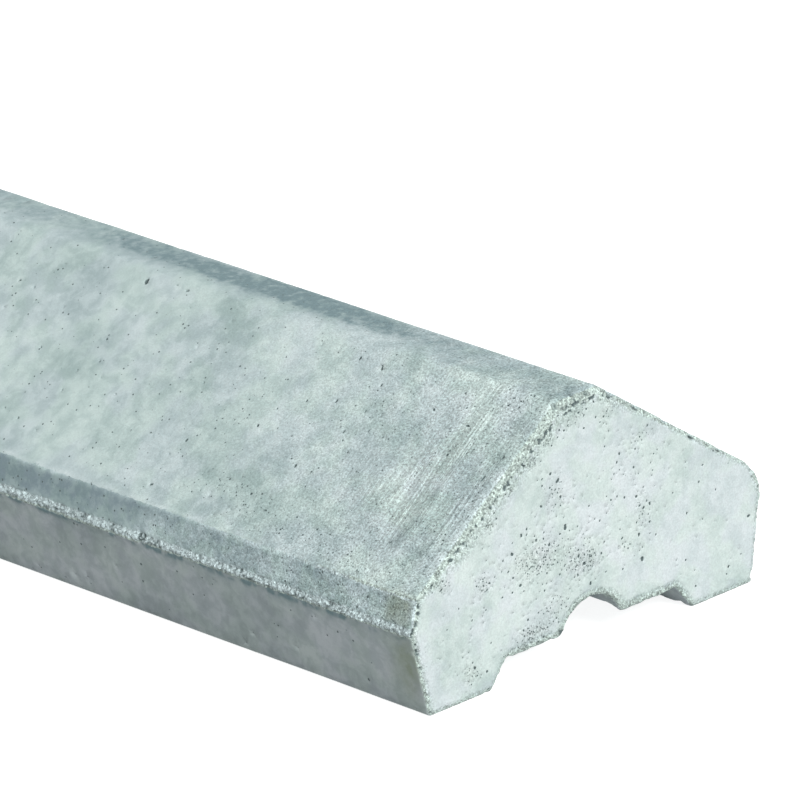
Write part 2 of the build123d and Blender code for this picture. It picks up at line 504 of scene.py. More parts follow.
def spread(wanted, a_range, b_range):
    """Points of a rectangle, as close together as wanted(a, b) says, moved a little so that no grid shows."""
    a_index, b_index = (np.arange(int(lo // FINEST) - 1, int(hi // FINEST) + 2) for lo, hi in (a_range, b_range))
    a, b = np.meshgrid(a_index, b_index, indexing="ij")
    a, b = a.ravel(), b.ravel()
    level = np.clip(np.log2(wanted(a * FINEST, b * FINEST) / FINEST), 0, COARSEST_STEP).astype(int)
    kept = ((a | b) & ((1 << level) - 1)) == 0
    a, b, level = a[kept], b[kept], level[kept]
    cell = np.stack([a, b, level * 0], -1)
    push = np.stack([grid_numbers(cell, 5), grid_numbers(cell, 6)], -1) - 0.5
    return np.stack([a, b], -1) * FINEST + push * JITTER * FINEST * (1 << level)[:, None]


print("grids of", [round(FINEST * 2**k, 2) for k in range(COARSEST_STEP + 1)], "mm")

# %% [markdown]
# ### Rings of points for the pores
# A fine grid over the whole cap could hold the pores, but it would need millions of faces. Instead each pore brings
# its own rings of points: a collar, a rim, a ledge and a middle, and the flat concrete between pores stays coarse.

# %% Rings of a pore
SMALL_PORE, LARGE_PORE = 0.45, 0.8
# Share of the radius and share of the depth of each ring
SMALL_RINGS = ((1.05, 0.0), (0.78, 0.8))
RINGS = ((1.3, 0.0), (1.0, 0.06), (0.8, 0.8))
# Distance between the points of a ring, and the fewest and the most of them
RING_STEP, FEWEST, MOST = 0.6, 6, 12


def rings(row):
    """Points of one pore as (place, depth), with an uneven outline so that it isn't a perfect circle."""
    _, a, b, radius, stretch, turn = row
    count = int(np.clip(round(2 * pi * radius / RING_STEP), FEWEST, MOST))
    angle = np.arange(count) * 2 * pi / count
    uneven = 1 + 0.16 * np.sin(2 * angle + a * 7) + 0.1 * np.sin(3 * angle + b * 5)
    depth = 1.3 * radius if radius < LARGE_PORE else 1.04 + 0.6 * (radius - LARGE_PORE)
    found = []
    for share, dug in SMALL_RINGS if radius < SMALL_PORE else RINGS:
        wave = uneven if share <= 1 else 1 + (uneven - 1) * 0.5
        long, wide = share * radius * wave * stretch * np.cos(angle), share * radius * wave * np.sin(angle)
        spun_a = a - long * sin(turn) + wide * cos(turn)
        spun_b = b + long * cos(turn) + wide * sin(turn)
        found.append(np.stack([spun_a, spun_b, np.full(count, dug * depth)], -1))
    return np.concatenate([*found, [[a, b, depth]]])


print("a small pore has", len(rings(pores[pores[:, 3].argmin()])), "points")

# %% [markdown]
# ### Room for the pores
# Two pores must not share a place, or their rings would cross. So a pore is dropped if one that is listed before it
# is too near. Points of the grid that lie under a pore are taken out as well.

# %% Room for the pores
KEEP_OFF, CLEARED = 1.5, 1.6


def clear_of(points, discs):
    """Which points lie outside all discs, given as rows of place and radius."""
    free = np.ones(len(points), bool)
    order = np.argsort(points[:, 1])
    rows = points[order, 1]
    for a, b, reach in discs:
        low, high = np.searchsorted(rows, (b - reach, b + reach))
        near = order[low:high]
        free[near] &= (points[near, 0] - a) ** 2 + (points[near, 1] - b) ** 2 > reach**2
    return free


def keep_apart(table):
    """Drop pores that would overlap one that is listed before them."""
    kept = []
    for row in table:
        reach = row[3] * row[4] * KEEP_OFF
        if all(np.hypot(row[1] - k[1], row[2] - k[2]) > reach + k[3] * k[4] * KEEP_OFF for k in kept):
            kept.append(row)
    return np.array(kept)


def with_pores(points, table):
    """Put the rings of these pores among the points, and return them with each point's depth."""
    discs = np.stack([table[:, 1], table[:, 2], table[:, 3] * table[:, 4] * CLEARED], -1)
    free = points[clear_of(points, discs)]
    flat = np.concatenate([free, np.zeros((len(free), 1))], 1)
    return np.concatenate([flat, *[rings(row) for row in table]])


LONG_FACES, NEAR_END, FAR_END = 0, 1, -1
kept_pores = {face: keep_apart(pores[pores[:, 0] == face]) for face in (LONG_FACES, NEAR_END, FAR_END)}
print("pores kept on the long faces, the near end and the far end:", [len(kept) for kept in kept_pores.values()])

# %% [markdown]
# ### Spacing on the long faces
# The lip, the shoulder and the near end are rough and need many points; the hidden end and the underside need few.
# From each rough place the spacing grows with the distance, so that triangles never change size in one step.

# %% Spacing on the long faces
FLAT_SPACING, SEEN_SPACING, HIDDEN_SPACING = 5.0, 3.0, 10.0
# Distance from the near end up to which the picture shows the long faces closely, as x
SEEN_FROM = 90


def long_face_spacing(girth, x):
    """Spacing of the points on the long faces, in millimetres."""
    far, seen = np.abs(girth), (girth < 0) & (x > SEEN_FROM)
    wanted = np.where(far > AT_FOOT, HIDDEN_SPACING, FLAT_SPACING)
    wanted = np.where(seen & (far < AT_LIP), SEEN_SPACING, wanted)
    from_lip = np.maximum(0, np.abs(far - AT_LIP) - 2.8)
    wanted = np.minimum(wanted, np.where(seen, FINEST + 0.45 * from_lip, 2 * FINEST + 0.9 * from_lip))
    from_shoulder = np.maximum(0, np.abs(far - AT_SHOULDER) - 1.5)
    wanted = np.minimum(wanted, np.where(seen, 2 * FINEST + 0.5 * from_shoulder, HIDDEN_SPACING))
    from_near, from_far = np.maximum(0, HALF_LENGTH - 4.0 - x), np.maximum(0, HALF_LENGTH - 3.5 + x)
    hidden = fade(far, AT_FOOT - 4, AT_FOOT + 6)
    wanted = np.minimum(wanted, (1 + 1.1 * hidden) * FINEST + 0.4 * from_near)
    return np.minimum(wanted, 2 * FINEST + 0.7 * from_far)


print("spacing half-way down the slope, at the end and far away:", end=" ")
print(long_face_spacing(np.full(2, -AT_SHOULDER / 2), np.array([HALF_LENGTH, 0.0])), "mm")

# %% [markdown]
# ### Points on the long faces
# On a coarse grid a rounded edge would turn into a saw, so straight rows of points run along each one, and the grid
# points next to a row are taken out. More rows run along the groove, which is round all over.

# %% Points on the long faces
ROW_STEP, ROW_ENDS, ROW_CLEARANCE = 6.2, 8, 0.9
# Where the grid is finer than this an edge needs no rows
DENSE = 2.2
# Rows along the rounded edges: where round the section, how far they reach to each side, and how many
EDGE_ROWS = [
    (AT_RIDGE, 1.3, 3), (AT_SHOULDER, 1.0, 3), (AT_FOOT, 1.8, 4), (AT_FLARE, 1.2, 3), (AT_SEAT, 1.0, 3),
    (AT_GROOVE, 1.2, 3),
]


def long_face_points():
    """Points of the long faces as (distance round, x, depth), clear of their border."""
    points = spread(long_face_spacing, (-HALF_GIRTH, HALF_GIRTH), (-HALF_LENGTH, HALF_LENGTH))
    ends = np.arange(-HALF_LENGTH + ROW_ENDS, HALF_LENGTH - ROW_ENDS, ROW_STEP)
    rows = []
    for middle, reach, count in EDGE_ROWS:
        for offset in np.linspace(-reach, reach, count):
            for side in (-1, 1):
                girth = side * (middle + offset)
                x = ends[long_face_spacing(np.full(len(ends), girth), ends) > DENSE]
                rows.append(np.stack([np.full(len(x), girth), x], -1))
                rough = long_face_spacing(points[:, 0], points[:, 1]) > DENSE
                points = points[~(rough & (np.abs(points[:, 0] - girth) < ROW_CLEARANCE))]
    for girth in np.arange(AT_GROOVE + 3.5, HALF_GIRTH - 1, 4.0):
        rows += [np.stack([np.full(len(ends), side * girth), ends], -1) for side in (-1, 1)]
    points = np.concatenate([points[np.abs(points[:, 0]) < AT_GROOVE + 2], *rows])
    points = with_pores(points, kept_pores[LONG_FACES])
    margin = [CUT * worn_radii(points[:, 0], end)[0] + 0.4 for end in (1, -1)]
    inside = (points[:, 1] < HALF_LENGTH - margin[0]) & (points[:, 1] > -HALF_LENGTH + margin[1])
    return points[inside & (np.abs(points[:, 0]) < HALF_GIRTH - 1.0)]


long_points = long_face_points()
print(len(long_points), "points on the long faces")

# %% [markdown]
# ## Joining the points
# Delaunay triangulation joins flat points into the fattest triangles possible, and its constrained form keeps given
# border lines. A remesh modifier would also give even triangles, but it would lose the rings of the pores.

# %% Join points into triangles
def inside_of(points, loop):
    """Which points lie inside a closed loop."""
    found = np.zeros(len(points), bool)
    for (y1, z1), (y2, z2) in zip(loop, np.roll(loop, -1, axis=0)):
        if z1 != z2:
            crosses = (points[:, 1] < z1) != (points[:, 1] < z2)
            found ^= crosses & (points[:, 0] < y1 + (points[:, 1] - z1) * (y2 - y1) / (z2 - z1))
    return found


def triangulate(points, rim):
    """Triangles over flat points, inside a border made of the first rim points, in order."""
    edges = [(i, (i + 1) % rim) for i in range(rim)]
    flat = [Vector(p) for p in points.tolist()]
    _, _, faces, source, _, _ = delaunay_2d_cdt(flat, edges, [], 0, 1e-7, True)
    faces = np.array([ids[0] for ids in source])[np.array(faces)]
    # Only a triangle that joins three border points can lie outside, in a hollow of the border
    on_border = np.flatnonzero((faces < rim).all(axis=1))
    middles = points[faces[on_border], :2].mean(axis=1)
    return np.delete(faces, on_border[~inside_of(middles, points[:rim, :2])], axis=0)


square = np.array([[0.0, 0.0], [1.0, 0.0], [1.0, 1.0], [0.0, 1.0]])
print("a square gives", len(triangulate(square, 4)), "triangles")

# %% [markdown]
# ### Skin of the long faces
# The long faces are unrolled into one flat sheet, as if the cap were cut open along the groove. After joining, the
# two sides of that cut are made one again. The border where the sheet meets an end is one list of points that the
# end face uses too, so the skin closes without a gap.

# %% Skin of the long faces
SEAM_POINTS = 160


def border_girths(end):
    """Distances round the section of the points where the long faces meet an end."""
    step = FINEST if end > 0 else 2 * FINEST
    return np.linspace(-HALF_GIRTH, HALF_GIRTH, int(2 * HALF_GIRTH / step))


def join_long_faces():
    """Skin of the long faces: flat places, triangles, and the border points of the near and the far end."""
    near, far = border_girths(1), border_girths(-1)
    near_x = HALF_LENGTH - CUT * worn_radii(near, 1)[0]
    far_x = -HALF_LENGTH + CUT * worn_radii(far, -1)[0]
    seam = np.linspace(far_x[0], near_x[0], SEAM_POINTS)[1:-1]
    right = np.stack([np.full(len(seam), HALF_GIRTH), seam], -1)
    left = np.stack([np.full(len(seam), -HALF_GIRTH), seam[::-1]], -1)
    near_line, far_line = np.stack([near, near_x], -1)[::-1], np.stack([far, far_x], -1)
    rim = np.concatenate([far_line, right, near_line, left])
    places = np.concatenate([np.concatenate([rim, np.zeros((len(rim), 1))], 1), long_points])
    faces = triangulate(places[:, :2], len(rim))[:, ::-1]
    # The cap is a tube: points on the right end of the unrolled skin are those on its left end
    first_near, first_left = len(far) + len(seam), len(far) + len(seam) + len(near)
    same = np.arange(len(places))
    same[len(far) - 1] = 0
    same[len(far) : first_near] = np.arange(first_left, first_left + len(seam))[::-1]
    same[first_near] = first_left - 1
    near_ids = same[np.arange(first_near, first_left)][::-1][:-1]
    far_ids = same[np.arange(len(far))][:-1]
    return places, same[faces], near_ids, far_ids


places, long_faces, near_ids, far_ids = join_long_faces()
print(len(long_faces), "triangles on the long faces")

# %% [markdown]
# ### Skin of the end faces
# An end face is flat already, so its points are spread straight over the section: close together in the worn band
# along its edge, and wider towards the middle. Its border is the list of points where the long faces end.

# %% Skin of one end face
END_SPACING, OUTSIDE_SPACING = 4.0, 9.0
# A box a little larger than the section; no point outside it is ever used
BOX_HALF, BOX_LOW, BOX_HIGH = 108, -1, 124
# Width of the band of fine points: along the slope of the near end, round the rest of it, and on the far end
SLOPE_BAND, OTHER_BAND, FAR_BAND = 6.0, 2.8, 2.4
BORDER_CLEARANCE = 0.6


def end_face_spacing(end):
    """A function that gives the spacing of the points on an end face."""

    def wanted(y, z):
        spacing = np.full(len(y), OUTSIDE_SPACING)
        box = (np.abs(y) < BOX_HALF) & (z > BOX_LOW) & (z < BOX_HIGH)
        depth, where = nearest_on_section(y[box], z[box])
        girth = trace_girth[where]
        top = fade(girth, -AT_LIP - 2, -AT_SHOULDER) * (1 - fade(girth, AT_RIDGE, AT_RIDGE + 12))
        band = (SLOPE_BAND * top + OTHER_BAND * (1 - top)) if end > 0 else FAR_BAND
        finest = FINEST if end > 0 else 2 * FINEST
        spacing[box] = np.minimum(END_SPACING, finest + 0.42 * np.maximum(0, depth - band))
        return spacing

    return wanted


def join_end_face(end, border):
    """Skin of an end face: new points with their depth, and triangles over the border's points and the new ones."""
    step = FINEST if end > 0 else 2 * FINEST
    points = spread(end_face_spacing(end), (-RIM_HALF - 1, RIM_HALF + 1), (0, RIDGE_LEVEL))
    points = with_pores(points, kept_pores[end])
    loop = border[:, 1:]
    points = points[inside_of(points, loop)]
    depth, where = nearest_on_section(points[:, 0], points[:, 1])
    points = points[depth > CUT * worn_radii(trace_girth[where], end)[1] + BORDER_CLEARANCE * step]
    return points, triangulate(np.concatenate([loop, points[:, :2]]), len(loop))


print("ready to join an end face")

# %% [markdown]
# ### Closing the skin
# The three skins are put in one list of points. For each point we also keep what the next steps ask for: how deep it
# lies in a pore, its place round the section, how far it is from the edge of the end, and which end it belongs to.

# %% Put the skins together
skin, lean = on_long_face(places[:, 0], places[:, 1])
dug = places[:, 2]
girth_of, depth_of = places[:, 0], HALF_LENGTH - np.abs(places[:, 1])
end_of = np.zeros(len(skin))
all_faces = [long_faces]
for end, ids in ((1, near_ids), (-1, far_ids)):
    points, faces = join_end_face(end, skin[ids])
    lookup = np.concatenate([ids, np.arange(len(skin), len(skin) + len(points))])
    # A loop that runs clockwise gives triangles that face the other way
    all_faces.append(lookup[faces] if end > 0 else lookup[faces][:, ::-1])
    more, more_lean, depth, girth = on_end_face(points[:, 0], points[:, 1], end)
    skin, lean = np.concatenate([skin, more]), np.concatenate([lean, more_lean])
    dug = np.concatenate([dug, points[:, 2]])
    girth_of, depth_of = np.concatenate([girth_of, girth]), np.concatenate([depth_of, depth])
    end_of = np.concatenate([end_of, np.full(len(points), float(end))])
faces = np.concatenate(all_faces)
print(len(skin), "points and", len(faces), "triangles")

# %% [markdown]
# ## Relief
# Now each point moves in or out along its normal. The moves are added up: waves from the mould and the trowel,
# ripples from the brush, crumbs along the lip and the worn ends, chips, pits and pores. Sculpting by hand would give
# the same result once, while a sum of small effects can be tuned one at a time. Most of them cut into the block. A
# few stand out from it, such as the crust on the lip, and the sum is clipped to the CAD box, so the cap keeps its
# stated size. First come masks, which are numbers from 0 to 1 that say where an effect works.

# %% Masks of the crumbled edges
# The strip has a rough joint this far from the near end, given here as x; beyond it its crust is thicker
JOINT_AT = HALF_LENGTH - 182.0
on_long = end_of == 0
from_near = HALF_LENGTH - skin[:, 0]
drop = np.abs(girth_of) - AT_LIP
round_top = fade(girth_of, -AT_LIP - 4, -AT_SHOULDER + 2) * (1 - fade(girth_of, AT_RIDGE + 2, AT_RIDGE + 14))


def lip_mask():
    """1 on the lip between strip and side, 0 away from it, on both sides of the cap."""
    ragged = 1.6 * (layered_noise(skin, 4.0, 57) - 0.5)
    return fade(drop + ragged, -4.4, -2.4) * (1 - fade(drop, 1.4, 2.6)) * on_long


def end_mask():
    """1 on the worn corners at both ends, 0 away from them."""
    stops = [-AT_SHOULDER, -AT_SHOULDER + 50, -AT_RIDGE, AT_RIDGE, AT_RIDGE + 14]
    near = 2.2 + np.interp(girth_of, stops, [0.6, 3.6, 5.0, 3.0, 1.0])
    reach = np.where(on_long, 1.6 + 0.8 * round_top, np.where(end_of > 0, near, 3.6))
    return 1 - fade(depth_of, reach * 0.6, reach * 1.15)


def worn_band():
    """How far the near end face is scuffed: most along the slope and the ridge, gone a finger's width inside."""
    stops = [-AT_SHOULDER, -AT_SHOULDER + 30, -AT_RIDGE - 10, AT_RIDGE, AT_RIDGE + 40]
    width = np.interp(girth_of, stops, [4, 12, 14, 9, 4])
    return (1 - fade(depth_of, 0.55 * width, width)) * (end_of > 0)


def shoulder_mask():
    """1 where the edge between slope and strip is ragged, most of all near the end in the picture."""
    near = np.interp(from_near, [0, 55, 90, 180, 1000], [1.0, 0.9, 0.5, 0.3, 0.4])
    return near * (1 - fade(np.abs(np.abs(girth_of) - AT_SHOULDER - 0.1), 0.5, 1.8)) * on_long


lip, corner, band, shoulder = lip_mask(), end_mask(), worn_band(), shoulder_mask()
print("points on crumbled edges:", int((np.maximum(lip, corner) > 0.5).sum()))

# %% [markdown]
# ### Chips
# A few larger pieces broke out when the cap was lifted and stacked. Each is a ball of a given size that bites into
# the edge, with noise on its reach so that the bite is ragged. Boolean cuts would do the same but leave smooth bowls.

# %% Chips knocked out of the edges
# Place in millimetres, radius and depth
CHIPS = [
    ((500, -13, 121), 3.6, 1.0), ((497, -2, 122), 3.0, 0.8), ((500, 6, 121), 2.5, 1.0), ((500, -104, 32), 2.6, 1.5),
    ((500, -101, 57), 2.6, 0.9), ((500, -107, 41), 3.0, 0.9), ((500, 21, 116), 4.0, 1.2), ((500, 35, 105), 3.4, 1.0),
    ((500, 52, 93), 3.4, 0.9), ((500, 68, 81), 4.0, 1.2), ((500, 83, 70), 3.0, 0.9), ((500, 100, 3), 4.0, 1.2),
    ((500, -99, 1), 2.0, 0.8), ((500, -63, 1), 2.0, 0.8), ((500, -106, 44), 2.2, 1.0), ((500, -103, 24), 1.8, 0.8),
    ((500, -19, 14), 1.8, 0.8), ((-500, 40, 102), 5.0, 1.6), ((-500, -70, 80), 4.0, 1.3), ((-500, 104, 44), 5.0, 1.6),
    ((-500, -99, 2), 5.0, 1.6), ((-210, 104, 54), 4.0, 1.1), ((60, 107, 41), 3.5, 1.2), ((-330, -107, 41), 4.0, 1.3),
    ((-120, 13, 122), 4.5, 0.9), ((-380, -12, 122), 4.0, 0.9), ((140, 99, 1), 4.0, 1.1), ((-60, -99, 1), 4.5, 1.2),
]


def chip_depth():
    """How deep the chips cut at each point."""
    total = np.zeros(len(skin))
    ragged = layered_noise(skin, 3.0, 70)
    for place, radius, depth in CHIPS:
        gap = np.linalg.norm(skin - np.array(place, float), axis=1)
        total += depth * (1 - fade(gap, radius * 0.35, radius * (0.75 + 0.5 * ragged))) * (0.6 + 0.8 * ragged)
    return total


chips = chip_depth()
print(len(CHIPS), "chips, the deepest", round(float(chips.max()), 2), "mm")

# %% [markdown]
# ### Crumbs
# Sand grains fell out of the edges and left them rough: on both worn ends, along the lip, and here and there on the
# shoulder between slope and strip. Two cell noises give grains of two sizes. A soft noise on top of them takes out
# whole clumps, because an edge never crumbles evenly.

# %% Crumbs along the edges
grains = grain_noise(skin, 2.1, 50)
fine_grains = grain_noise(skin, 1.3, 52)
coarse = layered_noise(skin, 5.0, 55)
crumble = corner * (0.30 * grains + 0.34 * fine_grains + 0.5 * fade(coarse, 0.46, 0.72) * (0.3 + grains)) * 0.85
lip_crumble = lip * (0.9 * fade(grains, 0.25, 0.85) + 0.7 * fade(coarse, 0.45, 0.75)) * 0.9
shoulder_crumble = 0.5 * shoulder * fade(grains, 0.35, 0.8)
print("deepest crumbs", round(float((crumble + lip_crumble).max()), 2), "mm")

# %% [markdown]
# ### The line of pits
# On the near end the crumbled band along the slope is wide. It stops at a ragged row of pits, where the smooth skin
# of the end face begins, and the row follows the width of the worn corner. A cluster of smaller pits lies under the
# ridge.

# %% Pits on the near end face
PIT_LINE_GIRTH = [
    -AT_SHOULDER, -AT_SHOULDER + 20, -AT_SHOULDER + 55, -AT_RIDGE - 10, -AT_RIDGE, AT_RIDGE, AT_RIDGE + 16,
]
PIT_LINE_DEPTH = [1.6, 2.8, 4.6, 6.2, 6.6, 4.0, 1.6]


def pit_line():
    """The row of pits along the inner edge of the worn band, and the cluster under the ridge."""
    wander = 3.4 * (layered_noise(skin, 7.0, 60) - 0.5)
    gap = (depth_of - np.interp(girth_of, PIT_LINE_GIRTH, PIT_LINE_DEPTH) - wander) / 1.5
    holes = fade(layered_noise(skin, 1.4, 61), 0.55, 0.66)
    rows = 0.75 * np.exp(-(gap**2)) * holes * (0.2 + 0.8 * round_top)
    ridge = np.exp(-(((skin[:, 1] + 5) / 9) ** 2) - ((skin[:, 2] - 117) / 5) ** 2)
    return (rows + 0.45 * ridge * fade(layered_noise(skin, 1.3, 62), 0.46, 0.60)) * (end_of > 0)


pits = pit_line()
print("deepest pit", round(float(pits.max()), 2), "mm")

# %% [markdown]
# ### Waves, brush ripples and a bulge
# The mould was a little hollow here and there, the trowel left shallow dips in the slopes, and the brush rippled them
# near the end. The strip on the far side swelled a little. Long soft noise makes the waves. It is cut off at zero, so
# that about half of each face stays at full size.

# %% Waves and the bulge
def waves():
    """Slow unevenness of all faces, cut inwards only."""
    top = on_long & (np.abs(girth_of) < AT_SHOULDER)
    mould = 0.22 * np.maximum(0, 2 * soft_noise(skin, 70.0, 80) - 1)
    trowel = 0.40 * np.maximum(0, 2 * layered_noise(skin, (46.0, 30.0, 30.0), 81) - 0.95)
    ripple = 0.10 * soft_noise(skin, (1.6, 60.0, 60.0), 82) * fade(skin[:, 0], 380, 450)
    return mould + np.where(top, trowel + ripple, 0)


def bulge():
    """The strip on the right bulges a little, and the corners above and below it are rubbed rounder near the end."""
    strip = fade(girth_of, AT_SHOULDER + 2, AT_SHOULDER + 6) * (1 - fade(girth_of, AT_LIP - 5, AT_LIP + 1))
    low_corner = 1.2 * fade(girth_of, AT_LIP + 2, AT_LIP + 8) * (1 - fade(girth_of, AT_FOOT - 6, AT_FOOT))
    rubbed = np.exp(-(((girth_of - AT_SHOULDER) / 3.0) ** 2)) + low_corner
    swollen = 1.1 * strip * (1 - 0.6 * fade(from_near, 100, 500))
    return (swollen - 0.9 * rubbed * (1 - fade(from_near, 8, 45))) * on_long


print("deepest wave", round(float(waves().max()), 2), "mm")

# %% [markdown]
# ### Crust, leaked concrete and the rough joint
# Some concrete is where it shouldn't be. Beyond a rough joint, about 18 cm from the near end, the strip has a thicker
# crust that hangs a little over the side. At the near end some leaked under the end board of the mould and hangs from
# the bed. These could be pieces of their own, but they grew out of the same pour, so they are moves of the same skin.

# %% Crust, flash and joint
def crust():
    """How far the crust stands out over the side, below the lip of the strip, beyond the joint."""
    hang = (1 - fade(drop, 2.2, 4.6)) * fade(drop, 0.2, 1.6) * on_long
    beyond = np.where(girth_of < 0, 1 - fade(skin[:, 0], JOINT_AT - 4, JOINT_AT + 1), 0.5)
    return 0.7 * hang * beyond * (0.5 + 0.5 * coarse)


def flash():
    """Thin ragged concrete that leaked under the end of the mould and hangs from the bed at the near end."""
    bed = fade(np.abs(girth_of), AT_SEAT - 2, AT_SEAT + 2) * on_long
    return 1.5 * bed * (1 - fade(from_near, 3, 9)) * (0.55 + 0.6 * fade(coarse, 0.3, 0.7))


def rough_joint():
    """The rough patch that runs up the strip where the crust begins."""
    on_strip = fade(-girth_of, AT_SHOULDER - 1, AT_SHOULDER + 2) * (1 - fade(-girth_of, AT_LIP + 1, AT_LIP + 4))
    wander = 5.0 * (soft_noise(skin, 4.0, 84) - 0.5)
    near = 1 - fade(np.abs(skin[:, 0] - JOINT_AT - wander), 1.0, 4.0)
    return 0.4 * on_strip * near * on_long * fade(grains, 0.3, 0.7)


joint_cut = rough_joint()
print("crust stands out", round(float(crust().max()), 2), "mm, flash", round(float(flash().max()), 2), "mm")

# %% [markdown]
# ### Adding it all up
# Where a chip meets a pit and a crumb their sum could dig a deep spike, so what the wear takes away has a limit. The
# pores are left out of that limit, because their rings of points were made for their full depth.

# %% Move the skin
DEEPEST_CUT = 2.6
cut = np.minimum(DEEPEST_CUT, crumble + lip_crumble + shoulder_crumble + chips + joint_cut + pits)
relief = crust() + flash() + bulge() - waves() - dug - cut
low, high = np.array(cad_box[0]) * 1000, np.array(cad_box[1]) * 1000
moved = np.clip(skin + lean * relief[:, None], low, high)
print("relief from", round(float(relief.min()), 2), "to", round(float(relief.max()), 2), "mm")

# %% [markdown]
# ## Marks on the faces
# Some marks on a casting are large and lie in one place, such as pale and dark clouds on the slope, or a pale line
# along an edge, which is partly painted highlight where the round edge catches the light. A noise texture would
# scatter them anywhere, and a painted picture needs unwrapping. So they are written down as soft spots and stored on
# the points of the mesh, where the shader reads them.

# %% Spots on the long faces
# Distance from the near end, distance down from the ridge edge, half length, half height, tone (below 0 is darker)
SLOPE_SPOTS = [
    (82, 18, 4, 15, 1.0), (55, 56, 9, 15, 0.6), (94, 20, 20, 16, -0.65), (250, 50, 50, 30, -0.2),
    (166, 20, 18, 15, 1.0), (130, 28, 18, 9, 0.5), (103, 15, 8, 6, 0.4), (40, 45, 8, 34, 0.5), (250, 27, 8, 13, 0.6),
    (312, 30, 6, 17, 0.6), (217, 34, 12, 5, 0.5), (283, 82, 12, 11, 0.5), (65, 104, 34, 4, 0.5),
    (140, 52, 28, 8, 0.4), (180, 60, 16, 12, 0.4), (82, 80, 5, 20, 0.35), (30, 98, 8, 6, 0.3), (340, 70, 16, 14, 0.4),
    (18, 62, 6, 20, -0.7), (17, 88, 6, 10, -0.9), (56, 6, 8, 6, -0.5), (137, 86, 22, 14, -0.9), (160, 80, 8, 8, -0.6),
    (206, 84, 10, 10, -0.7), (232, 92, 12, 9, -0.8), (258, 94, 5, 5, -0.6), (208, 10, 16, 9, -0.8),
    (194, 46, 10, 4, -0.4), (268, 7, 8, 5, -0.7), (310, 60, 10, 5, -0.5), (60, 82, 8, 16, -0.5),
    (55, 12, 10, 10, -0.3), (300, 8, 12, 7, -0.5), (345, 14, 14, 10, -0.5), (98, 45, 10, 12, -0.2),
    (60, 40, 6, 14, -0.3), (370, 40, 18, 12, 0.4), (330, 50, 10, 8, -0.3),
]
# Along the near edge of the slope, the edge of the ridge and the shoulder; their pale lines are partly painted
# highlight where these edges catch the light
EDGE_SPOTS_AND_HIGHLIGHTS = [
    (2.5, 55, 2, 60, 0.9), (58, 1.5, 20, 1.6, 2.2), (12, -3, 10, 3, -0.8), (66, -8, 2.5, 9, 1.6), (84, -6, 2, 5, 1.2),
    (104, -12, 12, 3, 0.8), (18, 111, 14, 1.2, 0.9), (120, 110, 70, 1.1, 1.0), (270, 110, 80, 1.1, 1.0),
    (146, 106, 10, 4, 0.5), (12, 108, 12, 2, -0.5), (250, 105, 60, 3, -0.6), (170, 107, 30, 3, -0.3),
]
# On the strip; the pale lines along the lip are partly painted highlight where the lip catches the light
STRIP_SPOTS_AND_HIGHLIGHTS = [
    (30, 118, 12, 8, 0.8), (90, 118, 12, 8, 0.5), (70, 126, 60, 1.8, 0.7), (130, 126, 40, 1.6, 1.2),
    (176, 118, 7, 9, 1.0), (230, 126, 45, 1.6, 0.8), (330, 126, 60, 1.6, 0.8), (210, 117, 22, 6, -0.65),
    (262, 117, 30, 6, -0.8), (340, 117, 50, 6, -0.6), (48, 124, 12, 4, -0.4), (60, 114, 8, 4, -0.4),
    (120, 117, 18, 6, 0.2), (100, 118, 34, 9, 0.35), (12, 119, 14, 8, 0.4), (250, 113.5, 70, 2.0, -0.6),
    (120, 113.2, 60, 1.8, -0.5), (320, 118, 90, 6, -1.5),
]
SIDE_SPOTS = [
    (60, 150, 30, 14, 0.3), (150, 150, 22, 10, 0.3), (168, 152, 8, 14, -0.6), (210, 145, 16, 10, 0.3),
    (110, 160, 16, 10, -0.3), (235, 158, 14, 10, 0.3), (190, 165, 30, 4, -0.3), (45, 140, 10, 5, 0.3),
    (270, 145, 18, 10, 0.4), (350, 152, 30, 12, 0.2),
]
SPOTS_AND_HIGHLIGHTS = SLOPE_SPOTS + EDGE_SPOTS_AND_HIGHLIGHTS + STRIP_SPOTS_AND_HIGHLIGHTS + SIDE_SPOTS
print(len(SPOTS_AND_HIGHLIGHTS), "spots on the long faces")

# %% [markdown]
# ### Spots on the near end, brush marks and specks
# The end face has its own clouds, painted shade low down where it curves under towards the ground, and dark places at
# the ridge and the worn edges. Two more tables say where the brush left lines on the slopes, and where dark specks
# crowd.

# %% Spots on the near end, strokes and specks
# On the near end face: y, z, half width, half height, tone; the dark spots low along the feet and the bed are
# painted shade
END_SPOTS_AND_SHADE = [
    (-22, 52, 16, 12, -0.3), (-6, 44, 9, 7, -0.2), (-34, 18, 12, 6, -0.5), (-66, 3, 8, 5, -1.4), (-57, 7, 3, 7, -0.6),
    (52, 6, 3, 6, -0.5), (-62, 46, 4, 12, -0.5), (-70, 30, 12, 14, -0.4), (0, 114, 9, 5, -1.8), (-74, 60, 8, 6, 0.6),
    (-48, 70, 12, 6, 0.5), (40, 22, 16, 8, 0.5), (30, 62, 16, 16, 0.4), (70, 20, 14, 14, 0.4),
    (-17, 80, 10, 10, -0.4), (10, 88, 10, 8, 0.2), (84, 50, 10, 9, -0.2), (-90, 22, 8, 16, -0.3), (0, 72, 14, 8, 0.3),
    (58, 44, 12, 8, 0.3), (-42, 16, 14, 3.5, -1.2), (-62, 4, 7, 6, -1.2), (92, 4, 14, 5, -1.4), (74, 70, 20, 7, -0.8),
    (102, 44, 4, 14, -0.8), (44, 15, 18, 4, -0.9), (-62, 47, 1.2, 14, -1.0), (86, 24, 14, 14, -0.6),
    (0, 100, 22, 8, -0.4), (40, 98, 14, 6, -0.7), (24, 30, 6, 4, -0.7), (-16, 22, 5, 5, -0.8), (0, 30, 10, 3, -0.5),
    (54, 84, 14, 6, -0.6),
]

